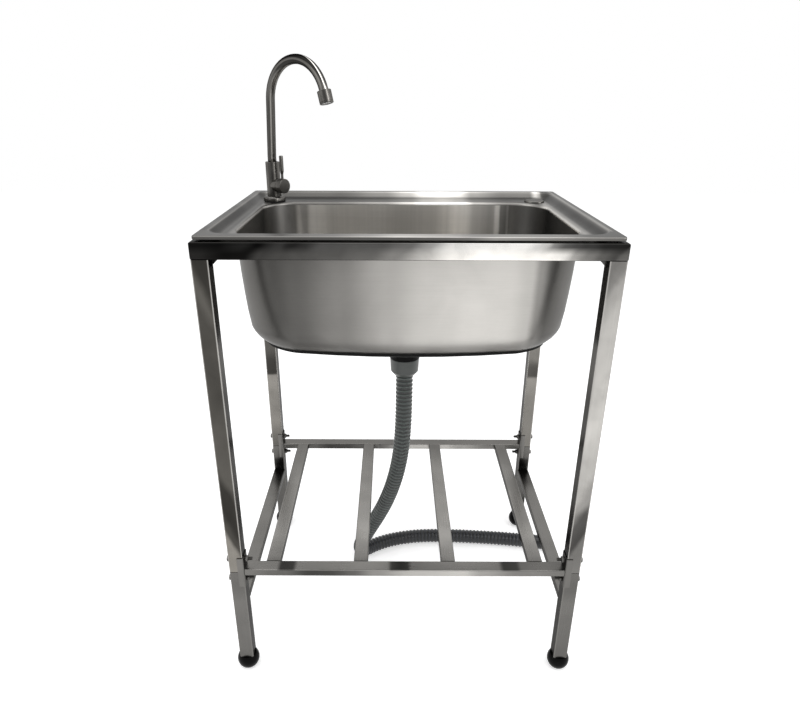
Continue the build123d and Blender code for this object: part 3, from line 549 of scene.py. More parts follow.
def addPiece(node, bm, materials, body="stand", name=None, sharp=30, thickness=0):
    # A piece stands for a node and takes its name, unless it has one of its own
    first, *others = node.split("_")
    name = name or first + "".join(part.title() for part in others)
    mesh = bpy.data.meshes.new(name)
    bm.to_mesh(mesh)
    bm.free()
    mesh.shade_smooth()
    mesh.set_sharp_from_angle(angle=math.radians(sharp))
    for material in materials:
        mesh.materials.append(material)
    piece = addObject(name, mesh)
    if thickness:
        wall = thicken(piece, thickness)
        wall.use_even_offset = True
        wall.material_offset = len(materials) - 1
    level = piece.modifiers.new("evenFaces", "WEIGHTED_NORMAL")
    level.keep_sharp = True
    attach(piece, body)
    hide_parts(node)
    return piece


def join(bm, part, matrix=Matrix()):
    # Puts a finished part in its place in the piece's mesh
    part.transform(matrix)
    mesh = bpy.data.meshes.new("part")
    part.to_mesh(mesh)
    part.free()
    bm.from_mesh(mesh)
    bpy.data.meshes.remove(mesh)


def ringEdges(verts):
    return list({e for v in verts for e in v.link_edges})


def faceOutward(bm):
    ops.recalc_face_normals(bm, faces=bm.faces[:])


def bevelEdges(bm, edges, width, segments, clamp=False):
    ops.bevel(
        bm, geom=edges, offset=width, segments=segments, profile=0.5, affect="EDGES", material=-1,
        clamp_overlap=clamp,
    )


def bevelSharp(bm, width):
    # Rounds the edges where two faces meet at more than 40 degrees
    limit = math.radians(40)
    sharp = [e for e in bm.edges if len(e.link_faces) == 2 and e.calc_face_angle(0) > limit]
    bevelEdges(bm, sharp, width, 2, clamp=True)


def turned(bm, profile, matrix, steps, edge=0):
    # Turned about its own Z from (radius, height) points; closed when it starts away from the axis
    part = bmesh.new()
    line = [part.verts.new((radius, 0, height)) for radius, height in profile]
    pairs = list(zip(line, line[1:]))
    if profile[0][0] > 0:
        pairs.append((line[-1], line[0]))
    geom = line + [part.edges.new(pair) for pair in pairs]
    ops.spin(part, geom=geom, axis=(0, 0, 1), angle=2 * math.pi, steps=steps, use_merge=True)
    ops.remove_doubles(part, verts=part.verts[:], dist=1e-6)
    faceOutward(part)
    if edge:
        bevelSharp(part, edge)
    join(bm, part, matrix)


def addTurned(node, profile, matrix, steps, material, body="stand", edge=0):
    bm = bmesh.new()
    turned(bm, profile, matrix, steps, edge)
    return addPiece(node, bm, [material], body)


def upright(x, y, z=0):
    return Matrix.Translation((x, y, z))


def aimed(origin, direction):
    # Turns a piece's own Z to a direction and moves it to an origin
    return Matrix.Translation(origin) @ Vector(direction).to_track_quat("Z", "Y").to_matrix().to_4x4()


def hexPrism(bm, across, height, matrix, edge=0.0004):
    part = bmesh.new()
    radius = across / math.sqrt(3)
    ops.create_cone(part, cap_ends=True, segments=6, radius1=radius, radius2=radius, depth=height)
    ops.translate(part, vec=(0, 0, height / 2), verts=part.verts[:])
    bevelSharp(part, edge)
    join(bm, part, matrix)


def threaded(radius, start, end, pitch, depth):
    # The outline of a threaded end, as points of radius and height
    points = [(0, start), (radius - depth, start)]
    count = max(1, round((end - start) / pitch))
    step = (end - start) / count
    for turn in range(count):
        level = start + turn * step
        crest = [(radius, level + step * share) for share in (0.4, 0.55)]
        points += crest + [(radius - depth, level + step)]
    return points + [(0, end)]


def newBox(low, high):
    part = bmesh.new()
    verts = ops.create_cube(part, size=1)["verts"]
    ops.scale(part, vec=high - low, verts=verts)
    ops.translate(part, vec=(low + high) / 2, verts=verts)
    return part


def squareTube(bm, low, high, axis, corner, wall):
    # A rectangular tube between two corners of its box, hollow from each end to 12 times its wall
    part = newBox(low, high)
    reach = (high - low)[axis] * 0.9
    lengthwise = [e for e in part.edges if abs((e.verts[1].co - e.verts[0].co)[axis]) > reach]
    bevelEdges(part, lengthwise, corner, 4)
    for face in [f for f in part.faces if abs(f.normal[axis]) > 0.9]:
        outward = face.normal.copy()
        ops.inset_region(part, faces=[face], thickness=wall, use_even_offset=True)
        pushed = ops.extrude_discrete_faces(part, faces=[face])["faces"][0]
        ops.translate(part, vec=-outward * wall * 12, verts=pushed.verts)
    join(bm, part)


# Drain hose: its own line first, then a ribbed wall along it
hose = {
    "diameter": 0.032,
    "rootDiameter": 0.0286,
    "pitch": 0.0084,
    "rib": ((0.1, 0), (0.2, 0.55), (0.3, 0.95), (0.42, 1), (0.55, 0.95), (0.66, 0.55), (0.78, 0)),
    "plainStart": 0.017,
    "segments": 32,
    "wall": 0.0011,
    "length": 0.976,
    "stiffness": "medium",
    "cuffStart": 0.02,
    "cuffLength": 0.034,
    "cuffRadius": 0.0163,
    "cuffStep": 0.0006,
}
hoseRoute = [
    (0, -0.018, 0.53), (0, -0.018, 0.458), (-0.0015, -0.016, 0.388), (-0.007, -0.006, 0.322),
    (-0.018, 0.009, 0.26), (-0.034, 0.027, 0.2), (-0.055, 0.046, 0.143), (-0.079, 0.06, 0.09),
    (-0.097, 0.07, 0.043), (-0.087, 0.092, 0.0165), (-0.057, 0.115, 0.0165),
    (-0.014, 0.134, 0.0165), (0.045, 0.146, 0.0165), (0.115, 0.146, 0.0165), (0.19, 0.141, 0.0165),
    (0.262, 0.1335, 0.0165), (0.33, 0.1225, 0.0165),
]


def readRoute(points):
    curve = bpy.data.curves.new("hoseLine", "CURVE")
    curve.dimensions = "3D"
    spline = curve.splines.new("NURBS")
    spline.points.add(len(points) - 1)
    for point, spot in zip(spline.points, points):
        point.co = (*spot, 1)
    spline.order_u = 3
    spline.use_endpoint_u = True
    spline.resolution_u = 24
    line = addObject("hoseLine", curve)
    bpy.context.view_layer.update()
    mesh = bpy.data.meshes.new_from_object(line)
    spots = [v.co.copy() for v in mesh.vertices]
    bpy.data.objects.remove(line)
    bpy.data.meshes.remove(mesh)
    return spots


def walkAlong(spots):
    # The line's length, and a function that gives place and direction at a distance
    distances = [0]
    for before, after in zip(spots, spots[1:]):
        distances.append(distances[-1] + (after - before).length)

    def at(distance):
        index = 1
        while index < len(spots) - 1 and distances[index] < distance:
            index += 1
        share = (distance - distances[index - 1]) / (distances[index] - distances[index - 1])
        near = spots[max(0, index - 2)]
        far = spots[min(len(spots) - 1, index + 1)]
        return spots[index - 1].lerp(spots[index], share), (far - near).normalized()

    return distances[-1], at


def ringAt(bm, spot, run, radius):
    made = ops.create_circle(bm, segments=hose["segments"], radius=radius)["verts"]
    # the ring's own X axis is held steady, so that neighbouring rings don't twist
    side = Vector((0, 1, 0)).cross(run).normalized()
    turn = Matrix((side, run.cross(side), run)).transposed().to_4x4()
    ops.transform(bm, matrix=Matrix.Translation(spot) @ turn, verts=made)
    return ringEdges(made)


def cuffOutline(root):
    # A collar at each end of the cuff, and a step down between them
    back, radius, step = -hose["cuffStart"], hose["cuffRadius"], hose["cuffStep"]
    lip = back + hose["cuffLength"]
    return [
        (root + 0.0001, back), (radius - step / 2, back), (radius, back + step), (radius, back + 0.006),
        (radius - step, back + 0.0075), (radius - step, lip - 0.006), (radius, lip - 0.0045),
        (radius, lip - step), (radius - 0.0005, lip), (root + 0.0001, lip),
    ]


def buildHose():
    spots = readRoute(hoseRoute)
    length, at = walkAlong(spots)
    root, crest, pitch = hose["rootDiameter"] / 2, hose["diameter"] / 2, hose["pitch"]
    stations = [(0, crest), (hose["plainStart"] - 0.0006, crest), (hose["plainStart"], root)]
    count = int((length - hose["plainStart"] - hose["cuffStart"]) / pitch)
    for rib in range(count):
        start = hose["plainStart"] + rib * pitch
        stations += [(start + share * pitch, root + (crest - root) * rise) for share, rise in hose["rib"]]
    stations.append((length, root - 0.0002))
    bm = bmesh.new()
    previous, rise = None, {}
    for distance, radius in stations:
        edges = ringAt(bm, *at(distance), radius)
        rise.update((v, (radius - root) / (crest - root)) for e in edges for v in e.verts)
        if previous:
            ops.bridge_loops(bm, edges=previous + edges)
        previous = edges
    faceOutward(bm)
    layout = bm.loops.layers.uv.new("UVMap")
    for face in bm.faces:
        for corner in face.loops:
            corner[layout].uv = (0.5, rise[corner.vert])
    piece = addPiece("drain_hose", bm, [hosePlastic], sharp=75)
    thicken(piece, hose["wall"])
    cuff = addTurned("hose_cuff", cuffOutline(root), aimed(*at(length)), 48, hosePlastic)
    print("hose made:", count, "ribs on", round(length, 3), "m")


buildHose()


# Basin: one sheet, built from its rim to the drain hole as rounded loops, then given its thickness
basin = {
    "sheet": 0.0008,
    "cornerSteps": 14,
    "sideSteps": 6,
    "deck": 0.8,
    "rim": (0.3, 0.225, 0.006),
    "rimHeight": 0.01,
    "rimRound": 0.0015,
    "lipHeight": 0.0052,
    "recess": (0.2895, 0.20975, 0.034),
    "recessMiddle": 0.00475,
    "recessSlope": 0.0143,
    "middle": -0.018,
    "bowl": (0.2608, 0.163, 0.062),
    "bowlRound": 0.005,
    "depth": 0.197,
    "draft": 0.0015,
    "wallLevels": (0.03, 0.065, 0.1, 0.13),
    "baseCorner": 0.073,
    "baseRadius": 0.047,
    "baseSteps": 8,
    "bow": 0.18,
    "mouthBow": 0.004,
    "padStart": 58,
    "padSteps": 5,
    "padThickness": 0.004,
    "seatRadius": 0.06,
    "seatEdge": 0.001,
    "seatDepth": 0.0025,
    "holeRadius": 0.046,
}


def roundedLoop(bm, shape):
    # A ring of points laid round a rectangle with rounded corners
    # shape: middle in Y, half length, half width, corner radius, height
    middle, halfX, halfY, radius, height = shape
    radius = min(radius, min(halfX, halfY) * 0.999)
    steps, sides = basin["cornerSteps"], basin["sideSteps"]
    spots = []

    def onCorner(corner, part):
        angle = (corner + part) * math.pi / 2
        x = (1, -1, -1, 1)[corner] * (halfX - radius) + radius * math.cos(angle)
        y = (1, 1, -1, -1)[corner] * (halfY - radius) + radius * math.sin(angle)
        return Vector((x, middle + y, height))

    for corner in range(4):
        spots += [onCorner(corner, step / steps) for step in range(steps + 1)]
        last, following = spots[-1], onCorner((corner + 1) % 4, 0)
        spots += [last.lerp(following, step / sides) for step in range(1, sides)]
    verts = [bm.verts.new(spot) for spot in spots]
    return [bm.edges.new(pair) for pair in zip(verts, verts[1:] + verts[:1])]


def bowSides(edges, shape):
    # The sides of the bowl bulge a little, more so towards its base
    middle, halfX, halfY, radius, height = shape
    share = min(1, max(0, (basin["deck"] + 0.0001 - height) / basin["depth"]))
    bow = basin["mouthBow"] + (basin["bow"] - basin["mouthBow"]) * share * share
    for vert in {v for e in edges for v in e.verts}:
        alongX = (vert.co.x / halfX) ** 2
        alongY = ((vert.co.y - middle) / halfY) ** 2
        vert.co.y = middle + (vert.co.y - middle) * (1 - bow * alongX)
        vert.co.x *= 1 - bow * 0.4 * alongY


def bridgeLoops(bm, shapes, closed=False):
    rings = []
    for shape in shapes:
        edges = roundedLoop(bm, shape)
        if shape[0] == basin["middle"] and shape[1] > 2 * basin["seatRadius"]:
            bowSides(edges, shape)
        rings.append(edges)
    for first, second in zip(rings, rings[1:] + rings[:1] * closed):
        ops.bridge_loops(bm, edges=first + second)
    faceOutward(bm)


def inset(shape, inward, height):
    # The same loop moved inward on every side, at a height of its own
    middle, halfX, halfY, radius, _ = shape
    return (middle, halfX - inward, halfY - inward, radius - inward, height)


def roundLoop(radius, height):
    return (basin["middle"], radius, radius, radius, height)


def softCorner(first, corner, last, steps):
    # Loops that round the corner between two runs of the sheet's outline
    loops = []
    for step in range(1, steps + 1):
        t = step / steps
        weights = ((1 - t) ** 2, 2 * t * (1 - t), t * t)
        values = zip(first, corner, last)
        loops.append(tuple(sum(w * v for w, v in zip(weights, value)) for value in values))
    return loops


def wallLoop(depthHere):
    # A loop of the bowl's wall, which narrows and rounds its corners on the way down
    halfX, halfY, radius = basin["bowl"]
    share = depthHere / basin["depth"]
    corner = radius + (basin["baseCorner"] - radius) * share
    inward = basin["draft"] * share
    return (basin["middle"], halfX - inward, halfY - inward, corner, basin["deck"] - depthHere)


def recessLoop(share, extra=0):
    # A loop of the recess's sloping wall: 0 at the rim, 1 at the deck
    start = (basin["recessMiddle"], *basin["recess"], 0)
    inward = basin["recessSlope"] * share + extra
    return inset(start, inward, basin["deck"] + basin["rimHeight"] * (1 - share))


def basinLoops():
    deck, bend = basin["deck"], basin["baseRadius"]
    top = deck + basin["rimHeight"]
    lip = (0, *basin["rim"], deck + basin["lipHeight"])
    rimCorner = inset(lip, 0, top)
    rimLow = inset(lip, 0, top - basin["rimRound"])
    loops = [lip, rimLow] + softCorner(rimLow, rimCorner, inset(rimCorner, basin["rimRound"], top), 4)
    mouth = recessLoop(0, -0.0012)
    loops += [mouth] + softCorner(mouth, recessLoop(0), recessLoop(0.12), 4)
    loops += [recessLoop(0.7)] + softCorner(recessLoop(0.7), recessLoop(1), recessLoop(1, 0.0035), 5)
    edgeOut = inset(wallLoop(0), -basin["bowlRound"], deck)
    loops += [edgeOut] + softCorner(edgeOut, wallLoop(0), wallLoop(basin["bowlRound"]), 5)
    loops += [wallLoop(level) for level in basin["wallLevels"]]
    for step in range(1, basin["baseSteps"] + 1):
        angle = math.radians(90 * step / basin["baseSteps"])
        edge = wallLoop(basin["depth"] - bend + bend * math.sin(angle))
        loops.append(inset(edge, bend * (1 - math.cos(angle)), edge[4]))
    floor = loops[-1][4]
    seat, edge = basin["seatRadius"], basin["seatEdge"]
    seatOut = roundLoop(seat + edge, floor)
    loops += [seatOut] + softCorner(seatOut, roundLoop(seat, floor), roundLoop(seat, floor - edge), 3)
    sunk = floor - basin["seatDepth"]
    return loops + [roundLoop(seat, sunk), roundLoop(basin["holeRadius"], sunk)]


def buildBasin():
    bm = bmesh.new()
    shapes, level = [], 1.0
    for shape in basinLoops():
        # two loops at one height can't be bridged the right way round, so the second sinks a hair
        if abs(shape[4] - level) < 0.00002:
            shape = inset(shape, 0, shape[4] - 0.00003)
        level = shape[4]
        shapes.append(shape)
    bridgeLoops(bm, shapes)
    rim = max(bm.faces, key=lambda f: f.calc_center_median().z)
    if rim.normal.z < 0:
        ops.reverse_faces(bm, faces=bm.faces[:])
    sheet = basin["sheet"]
    addPiece("sink_basin", bm, [basinInner, basinOuter], sharp=50, thickness=sheet)
    print("basin made")


def buildSoundPad():
    # Sprayed under the bowl, from the lower half of its rounded base to the drain seat
    bm = bmesh.new()
    bend, start, steps = basin["baseRadius"], basin["padStart"], basin["padSteps"]
    halfX, halfY, _ = basin["bowl"]
    base = (basin["middle"], halfX - basin["draft"], halfY - basin["draft"], basin["baseCorner"], 0)
    inner = bend + basin["sheet"] + 0.0001
    outer = inner + basin["padThickness"]
    angles = [math.radians(start + (90 - start) * step / steps) for step in range(steps + 1)]

    def wrap(radius, angle, lift=0):
        height = basin["deck"] - basin["depth"] + bend - radius * math.sin(angle)
        return inset(base, bend - radius * math.cos(angle), height + lift)

    loops = [wrap(inner, angles[0])] + [wrap(outer, angle) for angle in angles]
    floor = loops[-1][4]
    hole = basin["seatRadius"] + 0.003
    loops += [roundLoop(hole, floor - 0.00001), roundLoop(hole, floor + basin["padThickness"])]
    loops += [wrap(inner, angle, 0.00001) for angle in reversed(angles[1:])]
    bridgeLoops(bm, loops, closed=True)
    addPiece("sound_pad", bm, [blackRubber])


buildBasin()
buildSoundPad()


# Stand of square tube
stand = {
    "corner": 0.0025,
    "flatCorner": 0.002,
    "wall": 0.001,
}


def mitre(bm, outer, direction):
    # Cuts a tube off through a point, and closes it where it is welded to its neighbour
    geom = bm.verts[:] + bm.edges[:] + bm.faces[:]
    cut = ops.bisect_plane(bm, geom=geom, plane_co=outer, plane_no=direction, clear_outer=True)
    rims = [g for g in cut["geom_cut"] if isinstance(g, bmesh.types.BMEdge)]
    ops.holes_fill(bm, edges=rims)


def buildTopRails():
    for side, axis in (("front", 0), ("rear", 0), ("left", 1), ("right", 1)):
        node = "top_rail_" + side
        low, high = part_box(node)
        bm = bmesh.new()
        squareTube(bm, low, high, axis, stand["corner"], stand["wall"])
        inward = -(low + high) / 2
        inward[axis] = inward.z = 0
        inward.normalize()
        for end in (-1, 1):
            run = Vector((0, 0, 0))
            run[axis] = end
            outer = [high[i] if run[i] > 0 or inward[i] < 0 else low[i] for i in (0, 1)]
            mitre(bm, (*outer, high.z), (run + inward).normalized())
        faceOutward(bm)
        addPiece(node, bm, [topRailSteel])


def buildTubes(names, axis, corner, material):
    for name in names:
        low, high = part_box(name)
        bm = bmesh.new()
        squareTube(bm, low, high, axis, corner, stand["wall"])
        addPiece(name, bm, [material])


corners = ("front_left", "front_right", "rear_left", "rear_right")
buildTopRails()
buildTubes(["upper_leg_" + c for c in corners], 2, stand["corner"], upperLegSteel)
buildTubes(["lower_leg_" + c for c in corners], 2, stand["corner"], lowerLegSteel)
buildTubes(["side_rail_left", "side_rail_right"], 1, stand["flatCorner"], sideRailSteel)
buildTubes(["shelf_rail_front", "shelf_rail_rear"], 0, stand["flatCorner"], shelfRailSteel)
buildTubes(["shelf_slat_" + str(n) for n in range(1, 5)], 1, stand["flatCorner"], slatSteel)
print("stand made")


# Knock-down joints
joint = {
    "levels": (0.209, 0.25),
    "legPlaces": ((-0.291, -0.216), (0.291, -0.216), (-0.291, 0.216), (0.291, 0.216)),
    "bracketLow": 0.1995,
    "bracketHigh": 0.2595,
    "sheet": 0.0015,
    "flangeTip": 0.2885,
    "opening": 0.0252,
    "bend": 0.004,
    "outerFace": 0.3035,
    "webFace": 0.2769,
    "washer": [(0.0032, 0), (0.006, 0), (0.006, 0.001), (0.0032, 0.001)],
    "washerThickness": 0.001,
    "headAcross": 0.01,
    "headHeight": 0.0034,
    "headEdge": 0.0005,
    "crown": [(0, 0.0034), (0.0042, 0.0034), (0.0036, 0.004), (0, 0.004)],
    "shank": [(0, 0), (0.003, 0), (0.003, 0.024), (0.0029, 0.0241), (0.0029, 0.026), (0, 0.026)],
    "thread": (0.003, 0.026, 0.04, 0.001, 0.0005),
    "nutHeight": 0.005,
}


def buildBrackets():
    bm = bmesh.new()
    half = joint["opening"] / 2 + joint["sheet"]
    for x, y in joint["legPlaces"]:
        side = math.copysign(1, x)
        ends = sorted((joint["webFace"] * side, joint["flangeTip"] * side))
        low = Vector((ends[0], y - half, joint["bracketLow"]))
        part = newBox(low, Vector((ends[1], y + half, joint["bracketHigh"])))
        faceOutward(part)
        gone = [f for f in part.faces if abs(f.normal.z) > 0.9 or f.normal.x * side > 0.9]
        ops.delete(part, geom=gone, context="FACES")
        bevelEdges(part, [e for e in part.edges if len(e.link_faces) == 2], joint["bend"], 5)
        join(bm, part)
    addPiece("joint_brackets", bm, [bracketSteel], thickness=joint["sheet"])


def buildBolts():
    bolts, washers, nuts = bmesh.new(), bmesh.new(), bmesh.new()
    outer = joint["outerFace"]
    seat = outer + joint["washerThickness"]
    for x, y in joint["legPlaces"]:
        side = math.copysign(1, x)
        for level in joint["levels"]:
            def bolted(distance, way):
                return aimed((distance * side, y, level), (side * way, 0, 0))

            turned(washers, joint["washer"], bolted(outer, 1), 32, edge=0.0002)
            hexPrism(bolts, joint["headAcross"], joint["headHeight"], bolted(seat, 1), joint["headEdge"])
            turned(bolts, joint["crown"], bolted(seat, 1), 24)
            turned(bolts, joint["shank"], bolted(seat, -1), 24)
            turned(bolts, threaded(*joint["thread"]), bolted(seat, -1), 24)
            back = bolted(joint["webFace"], -1)
            hexPrism(nuts, joint["headAcross"], joint["nutHeight"], back, joint["headEdge"])
    for node, bm in (("joint_bolts", bolts), ("joint_washers", washers), ("joint_nuts", nuts)):
        addPiece(node, bm, [boltSteel])


feet = {
    "radius": 0.02,
    "centre": 0.0185,
    "shoulder": 0.031,
    "bevel": 0.0012,
    "steps": 16,
    "plug": 0.0112,
    "plugHeight": 0.02,
    "plugCorner": 0.0025,
    "plugWall": 0.002,
}


def buildFeet():
    bm = bmesh.new()
    radius, centre, shoulder, plug = feet["radius"], feet["centre"], feet["shoulder"], feet["plug"]
    lowest = -math.asin(centre / radius)
    highest = math.asin((shoulder - centre) / radius)
    ball = [(0, 0)]
    for step in range(feet["steps"] + 1):
        angle = lowest + (highest - lowest) * step / feet["steps"]
        ball.append((radius * math.cos(angle), centre + radius * math.sin(angle)))
    ball += [(ball[-1][0] - feet["bevel"], shoulder), (0, shoulder)]
    for x, y in joint["legPlaces"]:
        turned(bm, ball, upright(x, y), 40)
        low = Vector((x - plug, y - plug, shoulder))
        high = low + Vector((2 * plug, 2 * plug, feet["plugHeight"]))
        squareTube(bm, low, high, 2, feet["plugCorner"], feet["plugWall"])
    addPiece("feet", bm, [blackPlastic], name="ballFeet")


buildBrackets()
buildBolts()
buildFeet()
print("joints and feet made")


# Tap
tap = {
    "place": (-0.249, 0.154),
    "valveHeight": 0.83,
    "valveAzimuth": -40,
    "spoutAzimuth": -38,
    "gasket": [(0.0107, 0.8), (0.02, 0.8), (0.0201, 0.801), (0.02, 0.802), (0.0107, 0.802)],
    "escutcheon": [
        (0.0131, 0.802), (0.0205, 0.802), (0.0205, 0.8058), (0.0198, 0.8074),
        (0.0186, 0.8088), (0.017, 0.8097), (0.015, 0.81), (0.0131, 0.81),
    ],
    "body": [
        (0, 0.8025), (0.013, 0.8025), (0.013, 0.871), (0.0127, 0.8717),
        (0.012, 0.872), (0.0082, 0.872), (0.0082, 0.858), (0, 0.858),
    ],
    "boss": [
        (0, 0), (0.01225, 0), (0.01225, 0.0172), (0.0119, 0.0178),
        (0.0113, 0.018), (0.0072, 0.018), (0.007, 0.0205), (0, 0.0205),
    ],
    "knob": [
        (0, 0.022), (0.009, 0.022), (0.009, 0.019), (0.0122, 0.019), (0.0129, 0.0193), (0.01325, 0.02),
        (0.01325, 0.0307), (0.0129, 0.0314), (0.0122, 0.0317), (0.004, 0.0318), (0, 0.0318),
    ],
    "lever": [
        (0, 0.004), (0.0025, 0.004), (0.0025, 0.0215), (0.0027, 0.0222), (0.0036, 0.0266),
        (0.0037, 0.0275), (0.0037, 0.0524), (0.0034, 0.0534), (0.0027, 0.0539), (0, 0.054),
    ],
    "leverReach": 0.0255,
    "bore": 0.006,
    "shankTop": 0.812,
    "shankThread": (0.01045, 0.745, 0.8, 0.0018, 0.0007),
    "shankWasher": [(0.01055, 0.7962), (0.018, 0.7962), (0.018, 0.7992), (0.01055, 0.7992)],
    "shankNut": (0.03, 0.007),
    "nutLevel": 0.7892,
}


def heading(azimuth):
    angle = math.radians(azimuth)
    return Vector((math.cos(angle), math.sin(angle), 0))


tapX, tapY = tap["place"]
valveRun = heading(tap["valveAzimuth"])
spoutRun = heading(tap["spoutAzimuth"])
valveMiddle = Vector((tapX, tapY, tap["valveHeight"]))


def buildTap():
    spot = upright(tapX, tapY)
    valve = aimed(valveMiddle, valveRun)
    addTurned("tap_gasket", tap["gasket"], spot, 48, blackRubber)
    addTurned("tap_escutcheon", tap["escutcheon"], spot, 64, nickel)
    bm = bmesh.new()
    turned(bm, tap["body"], spot, 64)
    turned(bm, tap["boss"], valve, 64)
    addPiece("tap_body", bm, [nickel])
    addTurned("lever_knob", tap["knob"], valve, 64, nickel, "lever")
    rod = Matrix.Translation(valveMiddle + valveRun * tap["leverReach"])
    addTurned("lever_rod", tap["lever"], rod, 32, nickel, "lever")


def buildShank():
    # The tap's threaded end under the deck, with its washer and nut
    spot = upright(tapX, tapY)
    radius, low = tap["shankThread"][:2]
    thread = threaded(*tap["shankThread"])[1:-1]
    outline = [(tap["bore"], low)] + thread + [(radius, tap["shankTop"]), (tap["bore"], tap["shankTop"])]
    addTurned("tap_shank", outline, spot, 40, brassMetal)
    addTurned("shank_washer", tap["shankWasher"], spot, 48, blackRubber, edge=0.0005)
    bm = bmesh.new()
    hexPrism(bm, *tap["shankNut"], upright(tapX, tapY, tap["nutLevel"]), 0.0008)
    addPiece("shank_nut", bm, [blackPlastic])


spout = {
    "radius": 0.008,
    "segments": 40,
    "wall": 0.001,
    "foot": 0.86,
    "bendHeight": 0.879,
    "bendRadius": 0.06,
    "lean": 3.9,
    "riser": 0.0966,
    "archRadius": 0.068,
    "arch": 160,
    "tail": 0.008,
    "steps": 44,
    "aerator": [
        (0.0081, -0.008), (0.011, -0.008), (0.0118, -0.0077), (0.012, -0.007), (0.012, 0.0098),
        (0.0117, 0.0102), (0.0117, 0.0106), (0.012, 0.011), (0.012, 0.0121), (0.0115, 0.0128),
        (0.011, 0.013), (0.0101, 0.013), (0.01, 0.0122), (0.01, 0.0002), (0.0081, 0.0002),
    ],
}


def buildSpout():
    bm = bmesh.new()
    spot = Vector((tapX, tapY, spout["foot"]))
    run = Vector((0, 0, 1))
    across = spoutRun.cross(run)
    ring = ops.create_circle(bm, segments=spout["segments"], radius=spout["radius"])["verts"]
    ops.translate(bm, vec=spot, verts=ring)

    def straight(edges, length):
        nonlocal spot
        made = ops.extrude_edge_only(bm, edges=edges)["geom"]
        verts = [g for g in made if isinstance(g, bmesh.types.BMVert)]
        ops.translate(bm, vec=run * length, verts=verts)
        spot = spot + run * length
        return [e for e in made if isinstance(e, bmesh.types.BMEdge) and all(v in verts for v in e.verts)]

    def bent(edges, radius, degrees, steps):
        # Turns towards the bowl
        nonlocal spot, run
        forward = run.cross(across)
        centre = spot + forward * radius
        axis = run.cross(forward)
        angle = math.radians(degrees)
        verts = list({v for e in edges for v in e.verts})
        turn = Matrix.Rotation(angle, 4, axis)
        made = ops.spin(bm, geom=verts + edges, cent=centre, axis=axis, angle=angle, steps=steps)
        spot = centre + turn @ (spot - centre)
        run = (turn.to_3x3() @ run).normalized()
        return [g for g in made["geom_last"] if isinstance(g, bmesh.types.BMEdge)]

    edges = straight(ringEdges(ring), spout["bendHeight"] - spout["foot"])
    edges = bent(edges, spout["bendRadius"], spout["lean"], 4)
    edges = straight(edges, spout["riser"])
    edges = bent(edges, spout["archRadius"], spout["arch"], spout["steps"])
    straight(edges, spout["tail"])
    faceOutward(bm)
    thicken(addPiece("spout_tube", bm, [spoutNickel], "spout"), spout["wall"])
    addTurned("aerator_housing", spout["aerator"], aimed(spot, run), 64, nickel, "spout")
    print("spout ends at", [round(c, 4) for c in spot])


cap = {
    "place": (0.249, 0.154),
    "dome": [
        (0, 0.8035), (0.0158, 0.8035), (0.0168, 0.80335), (0.0178, 0.8029),
        (0.0186, 0.802), (0.0189, 0.801), (0.019, 0.8), (0, 0.8),
    ],
    "thread": (0.004, 0.782, 0.8, 0.0012, 0.0005),
    "washer": [(0.0041, 0.7992), (0.018, 0.7992), (0.018, 0.7967), (0.0175, 0.7962), (0.0041, 0.7962)],
    "nut": (0.0138, 0.003),
    "nutLevel": 0.7932,
}


def buildCap():
    # Its thread is turned over, so that it starts under the deck
    spot = upright(*cap["place"])
    _, low, high, _, _ = cap["thread"]
    bm = bmesh.new()
    turned(bm, cap["dome"], spot, 64)
    turned(bm, [(radius, low + high - level) for radius, level in threaded(*cap["thread"])], spot, 24)
    addPiece("hole_cap", bm, [nickel])
    bm = bmesh.new()
    turned(bm, cap["washer"], spot, 48)
    hexPrism(bm, *cap["nut"], upright(*cap["place"], cap["nutLevel"]))
    addPiece("hole_cap_nut", bm, [blackPlastic])


buildTap()
buildSpout()
buildCap()
buildShank()
print("tap made")


# Drain below the bowl
drain = {
    "place": (0, -0.018),
    "nut": [
        (0.0237, 0.548), (0.0262, 0.548), (0.02675, 0.5474), (0.0255, 0.523), (0.0251, 0.522),
        (0.0187, 0.5145), (0.0182, 0.514), (0.0165, 0.514), (0.0165, 0.5242), (0.0237, 0.5242),
    ],
    "body": [
        (0.047, 0.5985), (0.0545, 0.5985), (0.055, 0.598), (0.055, 0.595), (0.0545, 0.5945),
        (0.05, 0.5945), (0.05, 0.5725), (0.0495, 0.572), (0.028, 0.561), (0.0275, 0.5605),
        (0.0275, 0.549), (0.027, 0.5485), (0.0236, 0.5485), (0.0236, 0.5302), (0.0175, 0.5302),
        (0.0175, 0.5485), (0.0245, 0.561), (0.047, 0.574),
    ],
}
addTurned("drain_body", drain["body"], upright(*drain["place"]), 72, blackPlastic)
addTurned("coupling_nut", drain["nut"], upright(*drain["place"]), 72, nutPlastic)
print("drain made")


# Nodes that keep their own solids get finishes
finishes = {
    topRailSteel: ["corner_gussets"],
    strainerSteel: ["strainer_cup", "strainer_basket"],
    blackRubber: ["cup_gasket", "body_gasket", "basket_stopper", "nut_washer", "spout_o_ring"],
    boltSteel: ["cup_screw", "spout_set_screw"],
    brassMetal: ["valve_cartridge", "valve_spindle", "spout_spigot"],
    whitePlastic: ["aerator_insert"],
}
for material, names in finishes.items():
    for name in names:
        for slot in nodes[name].material_slots:
            slot.link = "OBJECT"
            slot.material = material
print("nodes finished:", sum(len(names) for names in finishes.values()))


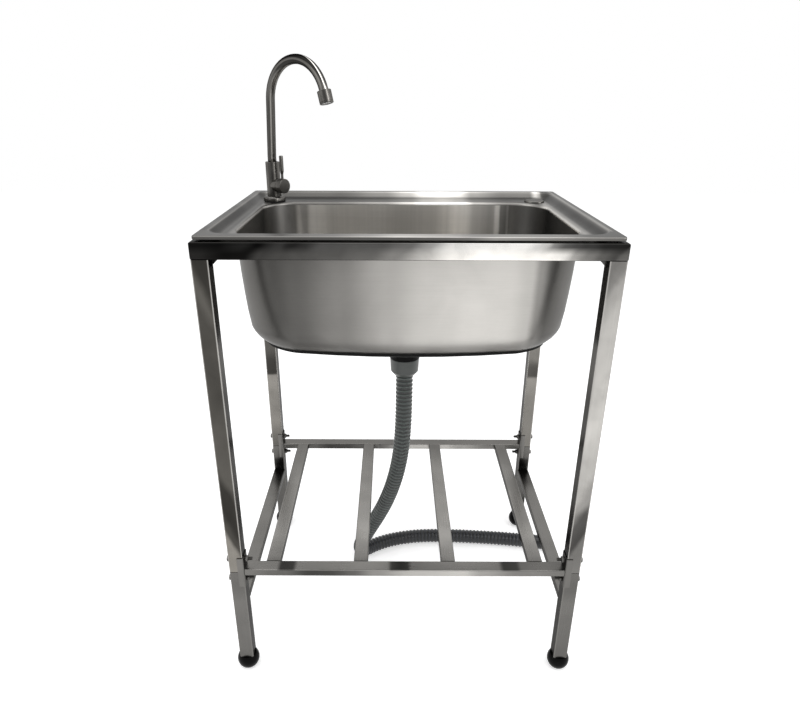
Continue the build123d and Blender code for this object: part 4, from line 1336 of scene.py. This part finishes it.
# Floor, lamps and world
studio = {
    "floor": 6,
    "floorColor": (0.9, 0.9, 0.9, 1),
    "floorRoughness": 0.9,
    "floorGlow": 0.48,
    "world": 0.62,
    "aim": (0, 0, 0.5),
    "lamps": {
        "topLamp": {"place": (0, -0.3, 2.6), "size": 2.6, "power": 32},
        "leftLamp": {"place": (-2.2, -1.6, 1.9), "size": 1.6, "power": 16},
        "rightLamp": {"place": (2.2, -1.4, 1.6), "size": 1.6, "power": 22},
    },
}
white = (1, 1, 1, 1)


def seenDirectly(tree):
    # 1 for rays from the camera, off a mirror or through glass, and 0 for those that only light things
    path = addNode(tree, "ShaderNodeLightPath", {})
    seen = calc(tree, "MAXIMUM", path["Is Camera Ray"], path["Is Glossy Ray"])
    return calc(tree, "MAXIMUM", seen, path["Is Transmission Ray"])


def buildFloor():
    bm = bmesh.new()
    ops.create_grid(bm, x_segments=1, y_segments=1, size=studio["floor"])
    mesh = bpy.data.meshes.new("floor")
    bm.to_mesh(mesh)
    bm.free()
    addObject("floor", mesh)
    material, tree, shader = newMaterial("paleFloor")
    feed(tree, shader, {
        "Base Color": studio["floorColor"],
        "Roughness": studio["floorRoughness"],
        "Emission Color": white,
        "Emission Strength": calc(tree, "MULTIPLY", seenDirectly(tree), studio["floorGlow"]),
    })
    mesh.materials.append(material)


def addLamp(name, lamp):
    data = bpy.data.lights.new(name, "AREA")
    data.shape = "SQUARE"
    data.size = lamp["size"]
    data.energy = lamp["power"]
    light = addObject(name, data)
    light.location = lamp["place"]
    aim = Vector(studio["aim"]) - Vector(lamp["place"])
    light.rotation_euler = aim.to_track_quat("-Z", "Y").to_euler()


def buildWorld():
    world = bpy.data.worlds.new("studio")
    scene.world = world
    world.use_nodes = True
    tree = world.node_tree
    strength = remap(tree, seenDirectly(tree), 0, 1, studio["world"], 1)
    feed(tree, tree.nodes["Background"], {"Color": white, "Strength": strength})


buildFloor()
for name, lamp in studio["lamps"].items():
    addLamp(name, lamp)
buildWorld()
scene.view_settings.view_transform = "Standard"
print("studio made")
